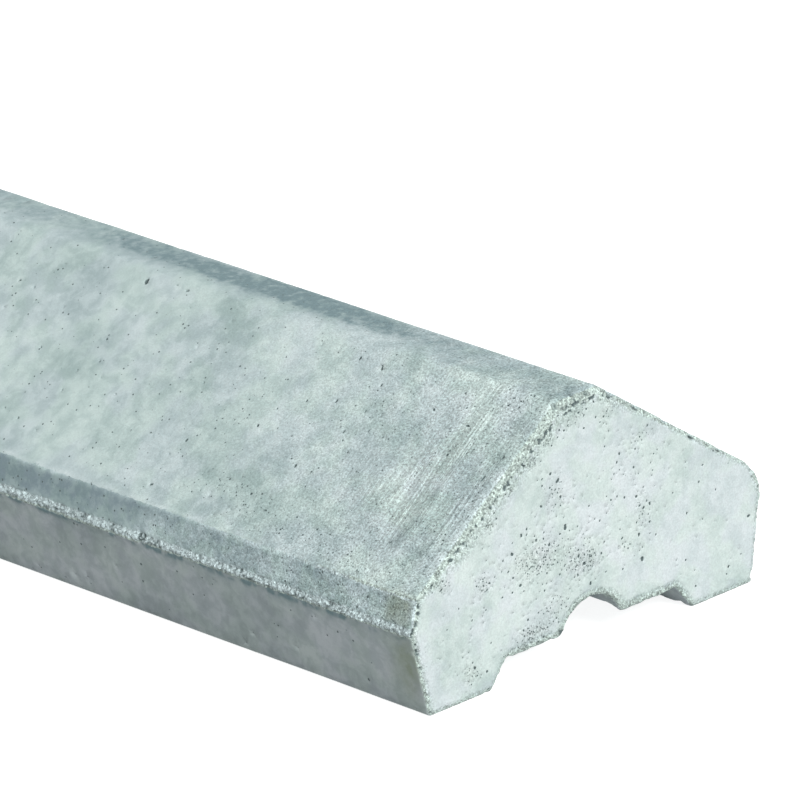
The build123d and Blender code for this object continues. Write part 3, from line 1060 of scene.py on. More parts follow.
# Brush lines on the slopes: distance from the end, down from the ridge, half length, half height, strength
STROKES = [
    (12, 66, 7, 24, 1.0), (34, 40, 8, 40, 1.0), (34, 78, 8, 20, 0.9), (49, 55, 8, 30, 0.9), (64, 70, 6, 14, 0.7),
    (9, 25, 8, 20, 0.5), (80, 60, 10, 30, 0.35), (112, 72, 12, 18, 0.15), (68, 4, 2, 10, 0.6), (700, 50, 60, 40, 0.7),
    (965, 60, 24, 40, 0.9), (520, 60, 50, 30, 0.5),
]

# Dark specks on the slopes, in the same way
SPECKS = [
    (20, 6, 8, 7, 1.0), (32, -4, 14, 4, 1.0), (114, 97, 18, 8, 0.9), (150, 90, 18, 8, 0.8), (62, 101, 20, 6, 0.7),
    (14, 70, 9, 34, 0.5), (44, 92, 14, 12, 0.5), (30, 30, 14, 14, 0.4), (96, 28, 10, 20, 0.4), (560, 60, 60, 40, 0.5),
    (900, 40, 60, 40, 0.6), (180, 60, 30, 12, 0.2),
]
print(len(END_SPOTS_AND_SHADE), "spots on the end,", len(STROKES), "brushed and", len(SPECKS), "speckled patches")

# %% [markdown]
# ### From tables to numbers on the points
# A spot is a smooth hill that fades out over its half length and half height. Before they are added, the places are
# pushed about by noise, so that no spot looks like an ellipse.

# %% Tone and brush marks
def down_from_ridge():
    """Distance down from the ridge edge on the side in the picture; negative on the ridge flat."""
    return -girth_of - AT_RIDGE


def spots(table, u, down, raggedness):
    """Sum of the soft spots at each point, with ragged edges."""
    total = np.zeros(len(skin))
    rough = raggedness * (layered_noise(skin, 14.0, 90) - 0.5)
    u, down = u + rough, down + 0.5 * rough * fade(down, 0, 12)
    for at_u, at_down, half_u, half_down, value in table:
        total += value * np.exp(-(((u - at_u) / half_u) ** 2) - ((down - at_down) / half_down) ** 2)
    return total


# The groove is painted paler, as painted light against the shade inside it. With the spots above, this tone holds the
# cap's own clouds and also painted highlights and painted shade
painted_light_in_groove = on_long & (np.hypot(skin[:, 1], skin[:, 2] - GROOVE_CENTRE) < GROOVE_RADIUS + 0.5)
tone_and_painted_light = on_long * spots(SPOTS_AND_HIGHLIGHTS, from_near, down_from_ridge(), 9.0) + 1.2 * painted_light_in_groove
tone_and_painted_light = tone_and_painted_light + (end_of > 0) * spots(END_SPOTS_AND_SHADE, skin[:, 1], skin[:, 2], 9.0) - 0.9 * band
brushed = on_long * np.clip(spots(STROKES, from_near, np.abs(girth_of) - AT_RIDGE, 6.0), 0, 1)
print("tone of the spots from", round(float(tone_and_painted_light.min()), 2), "to", round(float(tone_and_painted_light.max()), 2))

# %% [markdown]
# ### Damp and painted shade under the lip
# Rain stands longest on the ridge flat and keeps it dark. Just under the lip the side is painted with shade, where
# the lip overhangs it, and that band is stored with the damp. The damp on the ridge is not one even band: further
# along it is wide and dark, and near the end it is faint, with a darker line beside it. So it is the sum of three
# bands. Each has a width across the cap and a strength that changes along it between a few stops.

# %% Damp places
def band_along(u, stops, strengths, distance, half_width, power):
    """A dark band: how strong it is along the cap, times a soft edge across it."""
    return np.interp(u, stops, strengths) * np.exp(-((distance / half_width) ** power))


def damp_and_lip_shade_places():
    """0 where dry, 1 where darkest: damp along the ridge, and painted shade under the lip."""
    u, down = from_near, down_from_ridge()
    slant = np.stack([skin[:, 0] + 1.6 * skin[:, 1], skin[:, 1] * 0.4, skin[:, 2]], -1)
    streaks = layered_noise(slant, (7.0, 9.0, 9.0), 95)
    middle_at = np.interp(u, [0, 28, 70, 130, 200], [14.0, 16.0, 17.0, 16.0, 15.5])
    ragged = 3.5 * (layered_noise(skin, 4.0, 98) - 0.5)
    stops, strengths = [0, 20, 60, 100, 150, 210, 270, 330, 1000], [0.5, 0.42, 0.36, 0.6, 1.15, 1.3, 1.0, 0.55, 0.7]
    middle = band_along(u, stops, strengths, down + middle_at + ragged, 7.5, 4)
    stops, strengths = [0, 22, 36, 50, 78, 110, 150, 1000], [0.55, 0.45, 0.10, 0.40, 0.40, 0.10, 0.32, 0.30]
    near_edge = band_along(u, stops, strengths, down + 5, 4.5, 2)
    far_edge = band_along(u, [0, 130, 160, 240, 1000], [0.0, 0.1, 0.6, 0.4, 0.3], down + 24, 3.0, 2)
    ridge = (middle + near_edge + far_edge) * (0.5 + streaks) * (np.abs(girth_of) < AT_RIDGE + 14)
    # Under the lip the band is painted shade below the overhang, patchy so that it looks ragged
    below_lip = 0.46 * (1 - fade(drop, 3.2, 6.0)) + 0.10 * (1 - fade(drop, 6.0, 11.0))
    shade_under_lip = below_lip * fade(drop, -0.4, 0.6) * (0.3 + 1.5 * fade(coarse, 0.42, 0.62))
    return np.clip((ridge + shade_under_lip) * on_long, 0, 1)


damp_and_lip_shade = damp_and_lip_shade_places()
print("share of the points that are damp:", round(float((damp_and_lip_shade > 0.5).mean()), 3))

# %% [markdown]
# ### Swarms, algae and bare sand
# Three more numbers are stored. The first says how close the tiny pores stand that only the shader draws: they crowd
# where the larger ones do. The second is a thin olive film of algae on the near corner, with a trace of it among the
# pores. The third says how far sand shows, because near the end the brush tore off the smooth skin of cement.

# %% Swarms, olive film and bare sand
def swarm_density():
    """Where tiny pores crowd on the end faces, and a little everywhere on the long faces."""
    total = np.zeros(len(skin))
    for y, z, half_y, half_z, count in END_SWARMS:
        hill = np.exp(-(((skin[:, 1] - y) / half_y) ** 2) - ((skin[:, 2] - z) / half_z) ** 2)
        total += count / (half_y * half_z) * hill
    specks = 0.1 + spots(SPECKS, from_near, np.abs(girth_of) - AT_RIDGE, 8.0)
    specks = np.where(np.abs(girth_of) < AT_SHOULDER, specks, 0.5)
    return np.clip(np.where(on_long, specks, 0.06 + 0.6 * total), 0, 1)


def olive_film():
    """1 where the algae grew: on the strip and the side next to the near corner."""
    u, down = from_near, down_from_ridge()
    strip = 0.8 * np.exp(-(((u - 10) / 9) ** 4) - ((down - 117) / 7.5) ** 4)
    side = np.exp(-(((u - 7) / 10) ** 2) - ((down - 143 - 0.3 * u) / 15) ** 2)
    long_film = np.clip((strip + 0.95 * side) * (0.25 + 1.2 * layered_noise(skin, 6.0, 97)), 0, 1)
    return np.where(on_long, long_film, 0.16 * swarm)


def bare_sand():
    """How far the sand grains show: most at the near end of the slope, least on the faces the mould made smooth."""
    top = np.interp(from_near, [0, 60, 150, 260, 1000], [1.0, 0.80, 0.30, 0.09, 0.25])
    strip = np.interp(from_near, [0, 45, 170, 190, 1000], [1.0, 1.0, 0.5, 0.1, 0.25])
    bare = np.where(np.abs(girth_of) < AT_SHOULDER, top, np.where(drop < 1.5, strip, 0.08))
    bare = np.maximum(bare, np.maximum(lip * np.maximum(0.4, strip), corner))
    struck = 0.14 + 0.55 * band + 0.35 * swarm
    return np.where(on_long, bare, np.maximum(struck, 0.8 * corner))


swarm = swarm_density()
film, sand = olive_film(), bare_sand()
print("film reaches", round(float(film.max()), 2), "and bare sand", round(float(sand.max()), 2))

# %% [markdown]
# ### Hollows and crumbs
# The shader also has to know where the surface is open. Hollows catch dirt: pores, pits, chips and the gaps between
# crumbs. On the crumbled edges the broken inside of the concrete shows, in a colour that is partly painted light and
# shade of the crumbs.

# %% Hollows and crumbs for the shader
DIRT_STOPS, DIRT_BY_STOP, DIRT_ON_ENDS = [0, 100, 220, 1000], [1.5, 1.2, 0.7, 0.8], 1.7
SCUFF_STOPS, SCUFFED_BY_STOP = [-AT_LIP, -AT_SHOULDER, AT_RIDGE, AT_SHOULDER, AT_LIP], [0.55, 0.7, 0.7, 0.5, 0.3]
speckle = 0.4 * crumble + 0.50 * lip_crumble + 0.5 * shoulder_crumble + 0.8 * chips * fine_grains + 0.5 * joint_cut
pore_dirt = np.where(on_long, np.interp(from_near, DIRT_STOPS, DIRT_BY_STOP), DIRT_ON_ENDS) * dug
hollow = np.clip(pore_dirt + speckle + 1.2 * pits, 0, 1)
scuffed = np.where(on_long, 1.0, np.interp(girth_of, SCUFF_STOPS, SCUFFED_BY_STOP))
crumbs = np.clip(np.maximum.reduce([scuffed * corner, lip, 0.46 * band, 0.8 * shoulder, 0.5 * joint_cut]), 0, 1)
print("points with broken concrete:", int((crumbs > 0.5).sum()))

# %% [markdown]
# ## The mesh
# The points and triangles become one closed mesh, in metres, and each number from above becomes an attribute of its
# points. The new cap takes over from the CAD solid, which stays in the collision model, hidden.

# %% Build the mesh
MILLIMETRE = 0.001
STORED = {
    "hollow": hollow, "crumbs": crumbs, "tone_and_painted_light": tone_and_painted_light, "damp_and_lip_shade": damp_and_lip_shade, "film": film, "sand": sand, "swarm": swarm,
    "brushed": brushed,
}
used, faces = np.unique(faces, return_inverse=True)
faces = faces.reshape(-1, 3)
mesh = bpy.data.meshes.new("cast_cap")
mesh.from_pydata((moved[used] * MILLIMETRE).tolist(), [], faces.tolist())
mesh.shade_smooth()
for name, values in STORED.items():
    layer = mesh.attributes.new(name, "FLOAT", "POINT")
    layer.data.foreach_set("value", np.asarray(values, np.float32)[used])
cap = bpy.data.objects.new("wall_cap_cast", mesh)
bpy.context.scene.collection.objects.link(cap)
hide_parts("wall_cap")
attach(cap, "root")
print(len(mesh.polygons), "faces in the cast cap")

# %% [markdown]
# ## Shader groups
# The faces of the cap are one concrete, but each was made another way: brushed, pressed by hand, cast against the
# mould or struck off. They share a few effects, so each effect is a node group, built once and used with other
# values. A group has named sockets like a small tool, and gives back only colours, masks and heights. Nodes can be
# placed by hand in the Shader Editor. Here short helpers write them, so that a formula reads almost like one.

# %% Helpers that write nodes
def put(tree, value, socket):
    """Set a socket to a value, or link it if the value comes from another node."""
    if isinstance(value, bpy.types.NodeSocket):
        tree.links.new(value, socket)
    else:
        socket.default_value = value


def add(tree, kind, values=None, **settings):
    """Add a node, with values for its inputs by name or number."""
    node = tree.nodes.new("ShaderNode" + kind)
    for name, value in settings.items():
        setattr(node, name, value)
    for name, value in (values or {}).items():
        put(tree, value, node.inputs[name])
    return node


def calc(tree, operation, *values, clamp=False):
    """The result of one Math node."""
    return add(tree, "Math", dict(enumerate(values)), operation=operation, use_clamp=clamp).outputs[0]


def blend(tree, share, first, second):
    """A colour between two colours."""
    # The Mix node has sockets for each kind of data under the same names, so those for colours go by number
    return add(tree, "Mix", {0: share, 6: first, 7: second}, data_type="RGBA").outputs[2]


def step_up(tree, value, low, high):
    """0 below low, 1 above high, a soft step between."""
    limits = {"Value": value, "From Min": low, "From Max": high}
    return add(tree, "MapRange", limits, interpolation_type="SMOOTHSTEP").outputs[0]


print("helpers for nodes are ready")

# %% [markdown]
# ### Helpers for patterns
# The groups below draw with two patterns. Noise makes clouds. Voronoi cells make grains, and each cell has a random
# colour, from which we take random numbers.

# %% Helpers for patterns
def noise(tree, place, scale, detail, **more):
    """The strength of a noise texture."""
    return add(tree, "TexNoise", {"Vector": place, "Scale": scale, "Detail": detail, **more}).outputs[0]


def voronoi(tree, place, scale):
    """Voronoi cells: the distance to the middle of the cell, and three random numbers for each cell."""
    cells = add(tree, "TexVoronoi", {"Vector": place, "Scale": scale}).outputs
    return cells["Distance"], add(tree, "SeparateColor", {0: cells["Color"]}).outputs


def scaled(tree, colour, factor):
    """A colour made lighter or darker."""
    return add(tree, "VectorMath", {0: colour, "Scale": factor}, operation="SCALE").outputs[0]


print("helpers for patterns are ready")

# %% [markdown]
# ### Helpers for groups
# A group is a node tree of its own. Its sockets are made on the interface of the tree, and inside it two special
# nodes stand for them: what is given to the group, and what it gives back.

# %% Helpers for groups
def start_group(name, inputs, outputs):
    """A node group with sockets given as (name, kind) or (name, kind, value)."""
    tree = bpy.data.node_groups.new(name, "ShaderNodeTree")
    for title, kind, *value in inputs:
        socket = tree.interface.new_socket(title, in_out="INPUT", socket_type="NodeSocket" + kind)
        if value:
            socket.default_value = value[0]
    for title, kind in outputs:
        tree.interface.new_socket(title, in_out="OUTPUT", socket_type="NodeSocket" + kind)
    return tree, tree.nodes.new("NodeGroupInput").outputs, tree.nodes.new("NodeGroupOutput")


def finish_group(tree, exit_node, **results):
    """Link the results to the outputs of a group, and give the group back."""
    for name, value in results.items():
        tree.links.new(value, exit_node.inputs[name])
    print("group", tree.name, "has", len(tree.nodes), "nodes")
    return tree


def use_group(tree, group, **values):
    """Place a group in a material and give back its outputs; an underscore in a name stands for a space."""
    node = tree.nodes.new("ShaderNodeGroup")
    node.node_tree = group
    for name, value in values.items():
        put(tree, value, node.inputs[name.replace("_", " ")])
    return node.outputs


print("helpers for groups are ready")

# %% [markdown]
# ### Cement clouds
# Cement paste dries unevenly and leaves soft clouds, a hand wide down to a fingertip. Two noises of different size
# make them. The smaller one is distorted and steeper, like paste that a trowel smeared. The spots stored on the mesh
# are added before the colours are chosen, so that they dissolve into the clouds. A third noise tints the paste a
# little greener here and bluer there.

# %% Group: cement clouds
tree, given, result = start_group(
    "cement_clouds",
    [("Place", "Vector"), ("Cloud Size", "Float", 0.05), ("Contrast", "Float", 1.0), ("Spots", "Float", 0.0),
     ("Deep", "Color"), ("Middle", "Color"), ("Pale", "Color")],
    [("Colour", "Color"), ("Cloud", "Float")],
)
GREENER, BLUER = (0.988, 1.008, 0.985, 1), (1.006, 0.995, 1.020, 1)
scale = calc(tree, "DIVIDE", 1.0, given["Cloud Size"])
wide = noise(tree, given["Place"], scale, 3.0, Roughness=0.6)
close = noise(tree, given["Place"], calc(tree, "MULTIPLY", scale, 4.5), 4.0, Roughness=0.6, Distortion=0.35)
smeared = step_up(tree, close, 0.36, 0.64)
both = calc(tree, "MULTIPLY_ADD", smeared, 0.26, calc(tree, "SUBTRACT", wide, 0.63))
swing = calc(tree, "MULTIPLY", both, given["Contrast"])
cloud = calc(tree, "ADD", calc(tree, "MULTIPLY_ADD", given["Spots"], 0.30, 0.5), swing, clamp=True)
# Below one half the cloud goes from deep to middle, above it from middle to pale
upper = calc(tree, "MULTIPLY_ADD", cloud, 2.0, -1.0, clamp=True)
lower = calc(tree, "MULTIPLY", cloud, 2.0, clamp=True)
colour = blend(tree, upper, blend(tree, lower, given["Deep"], given["Middle"]), given["Pale"])
drift = noise(tree, given["Place"], calc(tree, "MULTIPLY", scale, 1.7), 2.0)
tint = blend(tree, step_up(tree, drift, 0.4, 0.6), GREENER, BLUER)
colour = add(tree, "VectorMath", {0: colour, 1: tint}, operation="MULTIPLY").outputs[0]
cement_clouds = finish_group(tree, result, Colour=colour, Cloud=cloud)

# %% [markdown]
# ### Sand grain
# Under the cement skin lies sand, with grains of a bit under a millimetre in slightly different greys.
# Voronoi cells look like packed grains and each cell has its own random shade. A fine noise breaks up their edges.

# %% Group: sand grain
tree, given, result = start_group(
    "sand_grain",
    [("Colour", "Color"), ("Place", "Vector"), ("Grain Size", "Float", 0.0008), ("Strength", "Float", 0.5)],
    [("Colour", "Color"), ("Height", "Float")],
)
scale = calc(tree, "DIVIDE", 1.0, given["Grain Size"])
distance, random = voronoi(tree, given["Place"], scale)
dust = noise(tree, given["Place"], calc(tree, "MULTIPLY", scale, 0.8), 2.0)
mottle = calc(tree, "MULTIPLY_ADD", calc(tree, "SUBTRACT", dust, 0.5), 2.2, calc(tree, "SUBTRACT", random[0], 0.5))
factor = calc(tree, "MULTIPLY_ADD", calc(tree, "MULTIPLY", mottle, given["Strength"]), 0.75, 1.0)
speckled = scaled(tree, given["Colour"], factor)
raised = calc(tree, "MULTIPLY", calc(tree, "SUBTRACT", dust, distance), given["Strength"])
sand_grain = finish_group(tree, result, Colour=speckled, Height=raised)

# %% [markdown]
# ### Brush strokes
# A stiff brush was drawn down the slopes while the concrete was wet. Its bristles left lines about a millimetre apart
# and several centimetres long. A noise stretched along one axis makes such lines. They show only in patches, as the
# hand pressed harder or lighter, and the mesh knows where those are.

# %% Group: brush strokes
tree, given, result = start_group(
    "brush_strokes",
    [("Colour", "Color"), ("Place", "Vector"), ("Line Spacing", "Float", 0.001), ("Line Length", "Float", 0.05),
     ("Strength", "Float", 0.5)],
    [("Colour", "Color"), ("Height", "Float")],
)
across = calc(tree, "DIVIDE", 1.0, given["Line Spacing"])
down = calc(tree, "DIVIDE", 1.0, given["Line Length"])
squeeze = add(tree, "CombineXYZ", {"X": across, "Y": down, "Z": down}).outputs[0]
drawn = add(tree, "VectorMath", {0: given["Place"], 1: squeeze}, operation="MULTIPLY").outputs[0]
lines = noise(tree, drawn, 1.0, 2.0, Roughness=0.6)
raised = calc(tree, "SUBTRACT", step_up(tree, lines, 0.42, 0.60), 0.45)
swing = calc(tree, "MULTIPLY", raised, given["Strength"])
lined = scaled(tree, given["Colour"], calc(tree, "MULTIPLY_ADD", swing, 0.50, 1.0))
brush_strokes = finish_group(tree, result, Colour=lined, Height=swing)

# %% [markdown]
# ### Pin holes
# Besides the pores that are real holes in the mesh there are thousands of tiny ones, too small to be worth geometry.
# Each Voronoi cell has one in its middle if its first random number is high enough, and the second sets its size.

# %% Group: pin holes
tree, given, result = start_group(
    "pin_holes",
    [("Colour", "Color"), ("Place", "Vector"), ("Spacing", "Float", 0.004), ("Share", "Float", 0.3),
     ("Dirt", "Color")],
    [("Colour", "Color"), ("Depth", "Float")],
)
distance, random = voronoi(tree, given["Place"], calc(tree, "DIVIDE", 1.0, given["Spacing"]))
chosen = calc(tree, "GREATER_THAN", random[0], calc(tree, "SUBTRACT", 1.0, given["Share"]))
size = calc(tree, "MULTIPLY_ADD", random[1], 0.30, 0.18)
inside = calc(tree, "MULTIPLY", calc(tree, "SUBTRACT", size, distance), 12.0, clamp=True)
deep = calc(tree, "MULTIPLY", inside, chosen)
dotted = blend(tree, calc(tree, "MULTIPLY", deep, 0.95), given["Colour"], given["Dirt"])
pin_holes = finish_group(tree, result, Colour=dotted, Depth=deep)

# %% [markdown]
# ### Broken edge
# Where the edge crumbled the inside of the concrete shows, in a colour given by each finish that partly paints the
# shade among the rough crumbs or the light on the lip. Each crumb is painted lighter or darker at random, as painted
# light and shade of single crumbs, and there is dirt in every hollow. The mesh knows where its edges and hollows
# are, so the group only mixes colours by those stored numbers, with noise to make the change ragged.

# %% Group: broken edge
tree, given, result = start_group(
    "broken_edge",
    [("Colour", "Color"), ("Place", "Vector"), ("Crumbs", "Float", 0.0), ("Hollow", "Float", 0.0),
     ("Inside", "Color"), ("Dirt", "Color")],
    [("Colour", "Color")],
)
RAGGED_SCALE, CRUMB_SCALE = 420.0, 1150.0
ragged = noise(tree, given["Place"], RAGGED_SCALE, 2.0)
_, random = voronoi(tree, given["Place"], CRUMB_SCALE)
# Each crumb gets a random brightness: painted light and shade of single crumbs
crumbs_lit_and_shaded = scaled(tree, given["Inside"], calc(tree, "MULTIPLY_ADD", random[1], 1.0, 0.52))
torn = calc(tree, "ADD", given["Crumbs"], calc(tree, "MULTIPLY_ADD", ragged, 0.9, -0.45))
opened = blend(tree, calc(tree, "MULTIPLY", step_up(tree, torn, 0.3, 0.7), 0.9), given["Colour"], crumbs_lit_and_shaded)
filled = calc(tree, "ADD", given["Hollow"], calc(tree, "MULTIPLY_ADD", ragged, 0.5, -0.25))
dirty = blend(tree, step_up(tree, filled, 0.22, 0.75), opened, given["Dirt"])
broken_edge = finish_group(tree, result, Colour=dirty)

# %% [markdown]
# ### Weather film
# Damp and algae are both thin films over the concrete, with patchy edges, and the damp film also lays the painted
# shade under the lip. One group serves for both: it mixes the colour below with the colour of the film, by the amount
# stored on the mesh times a noise.

# %% Group: weather film
tree, given, result = start_group(
    "weather_film",
    [("Colour", "Color"), ("Place", "Vector"), ("Amount", "Float", 0.0), ("Patch Size", "Float", 0.008),
     ("Film", "Color")],
    [("Colour", "Color")],
)
patches = noise(tree, given["Place"], calc(tree, "DIVIDE", 1.0, given["Patch Size"]), 3.0, Roughness=0.6)
thickness = calc(tree, "MULTIPLY", given["Amount"], calc(tree, "MULTIPLY_ADD", patches, 1.6, 0.2), clamp=True)
weather_film = finish_group(tree, result, Colour=blend(tree, thickness, given["Colour"], given["Film"]))

# %% [markdown]
# ## Concrete
# Four materials share the groups: the brushed top, the strip along the rim, the faces from the mould and the struck
# ends. The colour passes through the groups in the order in which things happened to the cap: it dried, was brushed,
# became damp and green, and broke at the edges. One Bump node turns the heights of all groups into fine relief.

# %% One concrete finish
DIRT = (0.115, 0.155, 0.155, 1)
DAMP_AND_SHADE, DAMP_AND_SHADE_PATCH = (0.165, 0.245, 0.262, 1), 0.0045
OLIVE, OLIVE_PATCH = (0.270, 0.325, 0.262, 1), 0.004
BRISTLE_SPACING, STROKE_LENGTH, SAND_SIZE = 0.0008, 0.045, 0.0007
STROKE_HEIGHT, SAND_HEIGHT, HOLE_HEIGHT, BUMP_STRENGTH = 0.35, 0.25, -0.35, 0.7
LEAST_ROUGHNESS, CLOUD_ROUGHNESS = 0.84, 0.10


def concrete_finish(name, colours, inside, cloud_size, contrast, grain, strokes, holes, relief_height):
    """Add a concrete material. Colours are deep, middle and pale; holes are their spacing and share."""
    made = bpy.data.materials.new(name)
    made.use_nodes = True
    tree = made.node_tree
    place = add(tree, "TexCoord").outputs["Object"]
    read = {key: add(tree, "Attribute", attribute_name=key).outputs["Fac"] for key in STORED}

    def lay(group, **values):
        """Pass the colour so far through a group."""
        return use_group(tree, group, Colour=colour, Place=place, **values)

    deep, middle, pale = ((*shade, 1) for shade in colours)
    clouds = use_group(
        tree, cement_clouds, Place=place, Cloud_Size=cloud_size, Contrast=contrast, Spots=read["tone_and_painted_light"], Deep=deep,
        Middle=middle, Pale=pale,
    )
    colour, heights = clouds["Colour"], []
    if strokes:
        strength = calc(tree, "MULTIPLY", read["brushed"], strokes)
        bristles = lay(brush_strokes, Line_Spacing=BRISTLE_SPACING, Line_Length=STROKE_LENGTH, Strength=strength)
        colour = bristles["Colour"]
        heights.append((bristles["Height"], STROKE_HEIGHT))
    # Damp on the ridge, and painted shade under the lip
    colour = lay(weather_film, Amount=read["damp_and_lip_shade"], Patch_Size=DAMP_AND_SHADE_PATCH, Film=DAMP_AND_SHADE)["Colour"]
    colour = lay(weather_film, Amount=read["film"], Patch_Size=OLIVE_PATCH, Film=OLIVE)["Colour"]
    spacing, share = holes
    dotted = lay(pin_holes, Spacing=spacing, Share=calc(tree, "MULTIPLY", read["swarm"], share), Dirt=DIRT)
    colour = dotted["Colour"]
    colour = lay(broken_edge, Crumbs=read["crumbs"], Hollow=read["hollow"], Inside=(*inside, 1), Dirt=DIRT)["Colour"]
    grainy = lay(sand_grain, Grain_Size=SAND_SIZE, Strength=calc(tree, "MULTIPLY", read["sand"], grain))
    heights += [(grainy["Height"], SAND_HEIGHT), (dotted["Depth"], HOLE_HEIGHT)]
    total = 0.0
    for height, weight in heights:
        total = calc(tree, "MULTIPLY_ADD", height, weight, total)
    bump = add(tree, "Bump", {"Strength": BUMP_STRENGTH, "Distance": relief_height, "Height": total})
    shader = tree.nodes["Principled BSDF"]
    tree.links.new(grainy["Colour"], shader.inputs["Base Color"])
    rough = calc(tree, "MULTIPLY_ADD", clouds["Cloud"], CLOUD_ROUGHNESS, LEAST_ROUGHNESS)
    tree.links.new(rough, shader.inputs["Roughness"])
    tree.links.new(bump.outputs[0], shader.inputs["Normal"])
    mesh.materials.append(made)


print("films:", DAMP_AND_SHADE[:3], "damp and", OLIVE[:3], "olive")

# %% [markdown]
# ### The four finishes
# Blender wants linear colours, which are lower numbers than the ones in most paint programs. The brushed top has its
# strokes and many holes, the strip is darker, the mould faces are the smoothest, and the struck end is the palest.
# On the crumbled edges all four are nearly alike, so hardly a border shows where they meet.

# %% The four finishes
# Colours of the crumbled edges: the greenish one is partly painted shade among the rough crumbs, and the pale one on
# the lip is partly painted highlight where the lip catches the light
GREENISH_SHADED_CRUMBS, PALE_LIT_CRUMBS = (0.425, 0.515, 0.475), (0.495, 0.595, 0.605)
FINISHES = {
    "brushed_top": dict(
        colours=((0.35, 0.448, 0.446), (0.48, 0.583, 0.578), (0.60, 0.70, 0.69)), inside=GREENISH_SHADED_CRUMBS,
        cloud_size=0.040, contrast=1.7, grain=0.90, strokes=1.0, holes=(0.0012, 0.26), relief_height=0.0012,
    ),
    "rim_strip": dict(
        colours=((0.225, 0.305, 0.328), (0.350, 0.453, 0.456), (0.56, 0.68, 0.69)), inside=PALE_LIT_CRUMBS,
        cloud_size=0.018, contrast=1.2, grain=0.9, strokes=0.0, holes=(0.0014, 0.22), relief_height=0.0014,
    ),
    "mould_face": dict(
        colours=((0.310, 0.368, 0.375), (0.386, 0.449, 0.456), (0.475, 0.535, 0.543)), inside=GREENISH_SHADED_CRUMBS,
        cloud_size=0.030, contrast=2.1, grain=0.7, strokes=0.0, holes=(0.0016, 0.03), relief_height=0.0005,
    ),
    "struck_end": dict(
        colours=((0.500, 0.595, 0.585), (0.635, 0.720, 0.712), (0.720, 0.788, 0.785)), inside=GREENISH_SHADED_CRUMBS,
        cloud_size=0.026, contrast=1.1, grain=0.95, strokes=0.0, holes=(0.0011, 0.70), relief_height=0.0006,
    ),
}
for name, values in FINISHES.items():
    concrete_finish(name, **values)
print("materials:", [material.name for material in mesh.materials])

# %% [markdown]
# ### Which face has which finish
# Each triangle takes its finish from where its middle lies round the section. Painting them by hand would be lost
# each time that the mesh is made again.

# %% Give every triangle its finish
BRUSHED_TOP, RIM_STRIP, MOULD_FACE, STRUCK_END = range(4)
# The brushed top ends this far above the shoulder, and near the end a little below it
ABOVE_SHOULDER, BELOW_NEAR_END, NEAR_END_REACH = 0.9, -0.2, 45
middle_girth = np.abs(girth_of[used][faces]).mean(axis=1)
middle_x = skin[used][:, 0][faces].mean(axis=1)
on_end = end_of[used][faces].any(axis=1)
border = AT_SHOULDER - np.where(middle_x > HALF_LENGTH - NEAR_END_REACH, BELOW_NEAR_END, ABOVE_SHOULDER)
where = [on_end, middle_girth < border, middle_girth < AT_LIP + 0.8]
finish_of = np.select(where, [STRUCK_END, BRUSHED_TOP, RIM_STRIP], MOULD_FACE)
mesh.polygons.foreach_set("material_index", finish_of.astype(np.int32))
print("triangles of each finish:", np.bincount(finish_of).tolist())

# %% [markdown]
# ## Light
# The picture has soft studio light from the front right, so that the struck end is brightest, the slope a little
# darker and the side darkest. A sun with a wide angle gives soft shadows, and a white world fills the rest.

# %% Lamps
def sun(name, direction, strength, spread_angle):
    """A lamp that shines from a direction, with shadows as soft as its spread angle."""
    lamp = bpy.data.lights.new(name, "SUN")
    lamp.energy, lamp.angle = strength, radians(spread_angle)
    holder = bpy.data.objects.new(name, lamp)
    holder.rotation_euler = Vector(direction).to_track_quat("Z", "Y").to_euler()
    bpy.context.scene.collection.objects.link(holder)
    print(name, "strength", strength)
    return holder


sun("key_light", (0.75, -0.15, 0.60), 2.15, 20)
sun("back_light", (-0.6, 0.6, 0.5), 0.35, 40)

# %% [markdown]
# ### A lamp from below
# The cap stands on the floor, which keeps all light from its bed, so in a view from below the bed would be black.
# Light linking, found among the lamp's object properties, gives a lamp a list of its own. This weak lamp shines only
# on the cap, and only the cap throws shadows in it, so it goes through the floor and doesn't change it. It is tilted
# so that it misses the faces in the picture and reaches only the underside and the back.

# %% Lamp that only the cap sees
bounce = sun("floor_bounce", (-0.15, 0.40, -0.90), 0.9, 20)
only_cap = bpy.data.collections.new("lit_from_below")
only_cap.objects.link(cap)
bounce.light_linking.receiver_collection = only_cap
bounce.light_linking.blocker_collection = only_cap

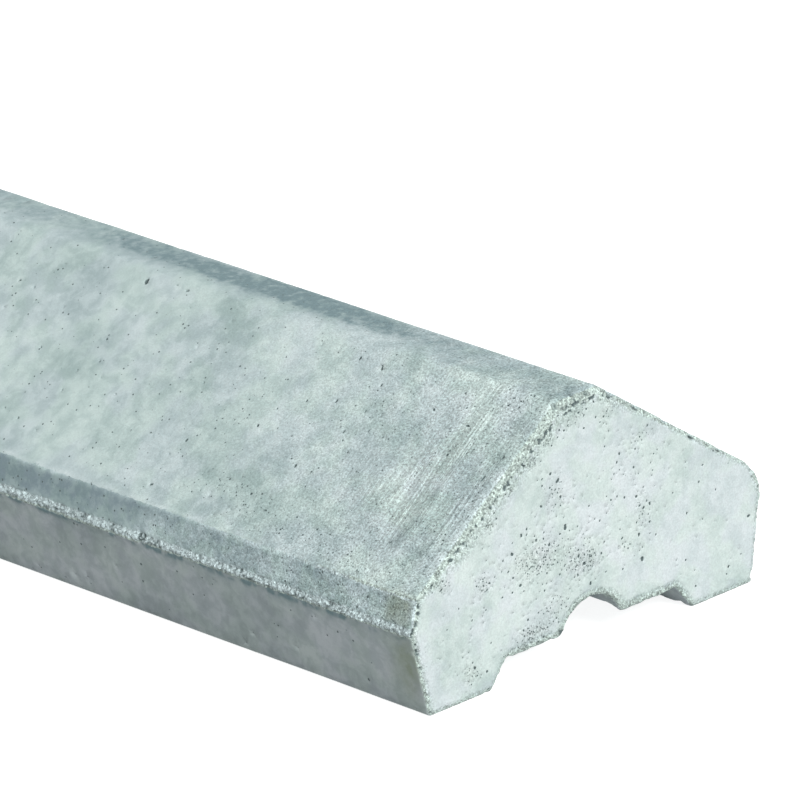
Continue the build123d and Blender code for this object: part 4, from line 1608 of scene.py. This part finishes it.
# %% [markdown]
# ### World
# The world lights the cap at a plain level, and looks pure white to the camera and in reflections. More light would
# also make it white, but would wash out the cap. So its strength depends on the kind of ray that asks.

# %% World
WORLD_LIGHT = 0.58


def seen_directly(tree):
    """1 for camera, glossy and transmission rays, 0 for the rays that only carry light."""
    path = add(tree, "LightPath")
    direct = calc(tree, "MAXIMUM", path.outputs["Is Camera Ray"], path.outputs["Is Glossy Ray"])
    return calc(tree, "MAXIMUM", direct, path.outputs["Is Transmission Ray"])


world = bpy.data.worlds.new("studio")
bpy.context.scene.world = world
world.use_nodes = True
tree = world.node_tree
background = tree.nodes["Background"]
background.inputs["Color"].default_value = (1, 1, 1, 1)
level = add(tree, "MapRange", {"Value": seen_directly(tree), "To Min": WORLD_LIGHT, "To Max": 1.0})
tree.links.new(level.outputs[0], background.inputs["Strength"])
print("world lights at", WORLD_LIGHT)

# %% [markdown]
# ### Floor
# The floor is a grey card that throws some light up on the side. For the camera it also glows, so that it looks white
# but keeps a faint shadow of the cap. From below it is clear, so that the underside can be seen.

# %% Floor
FLOOR_SIZE, FLOOR_GREY, FLOOR_GLOW = 120, 0.5, 0.84
bpy.ops.mesh.primitive_plane_add(size=FLOOR_SIZE)
floor = bpy.context.object
floor.name = "floor"
paint = bpy.data.materials.new("pale_floor")
paint.use_nodes = True
tree = paint.node_tree
card = tree.nodes["Principled BSDF"]
card.inputs["Base Color"].default_value = (FLOOR_GREY, FLOOR_GREY, FLOOR_GREY, 1)
card.inputs["Roughness"].default_value = 1.0
card.inputs["Emission Color"].default_value = (1, 1, 1, 1)
glow = calc(tree, "MULTIPLY", add(tree, "LightPath").outputs["Is Camera Ray"], FLOOR_GLOW)
tree.links.new(glow, card.inputs["Emission Strength"])
clear = add(tree, "BsdfTransparent").outputs[0]
from_below = add(tree, "NewGeometry").outputs["Backfacing"]
sides = add(tree, "MixShader", {0: from_below, 1: card.outputs[0], 2: clear})
tree.links.new(sides.outputs[0], tree.nodes["Material Output"].inputs["Surface"])
floor.data.materials.append(paint)
bpy.context.scene.view_settings.view_transform = "Standard"
print("floor ready,", FLOOR_SIZE, "m wide")
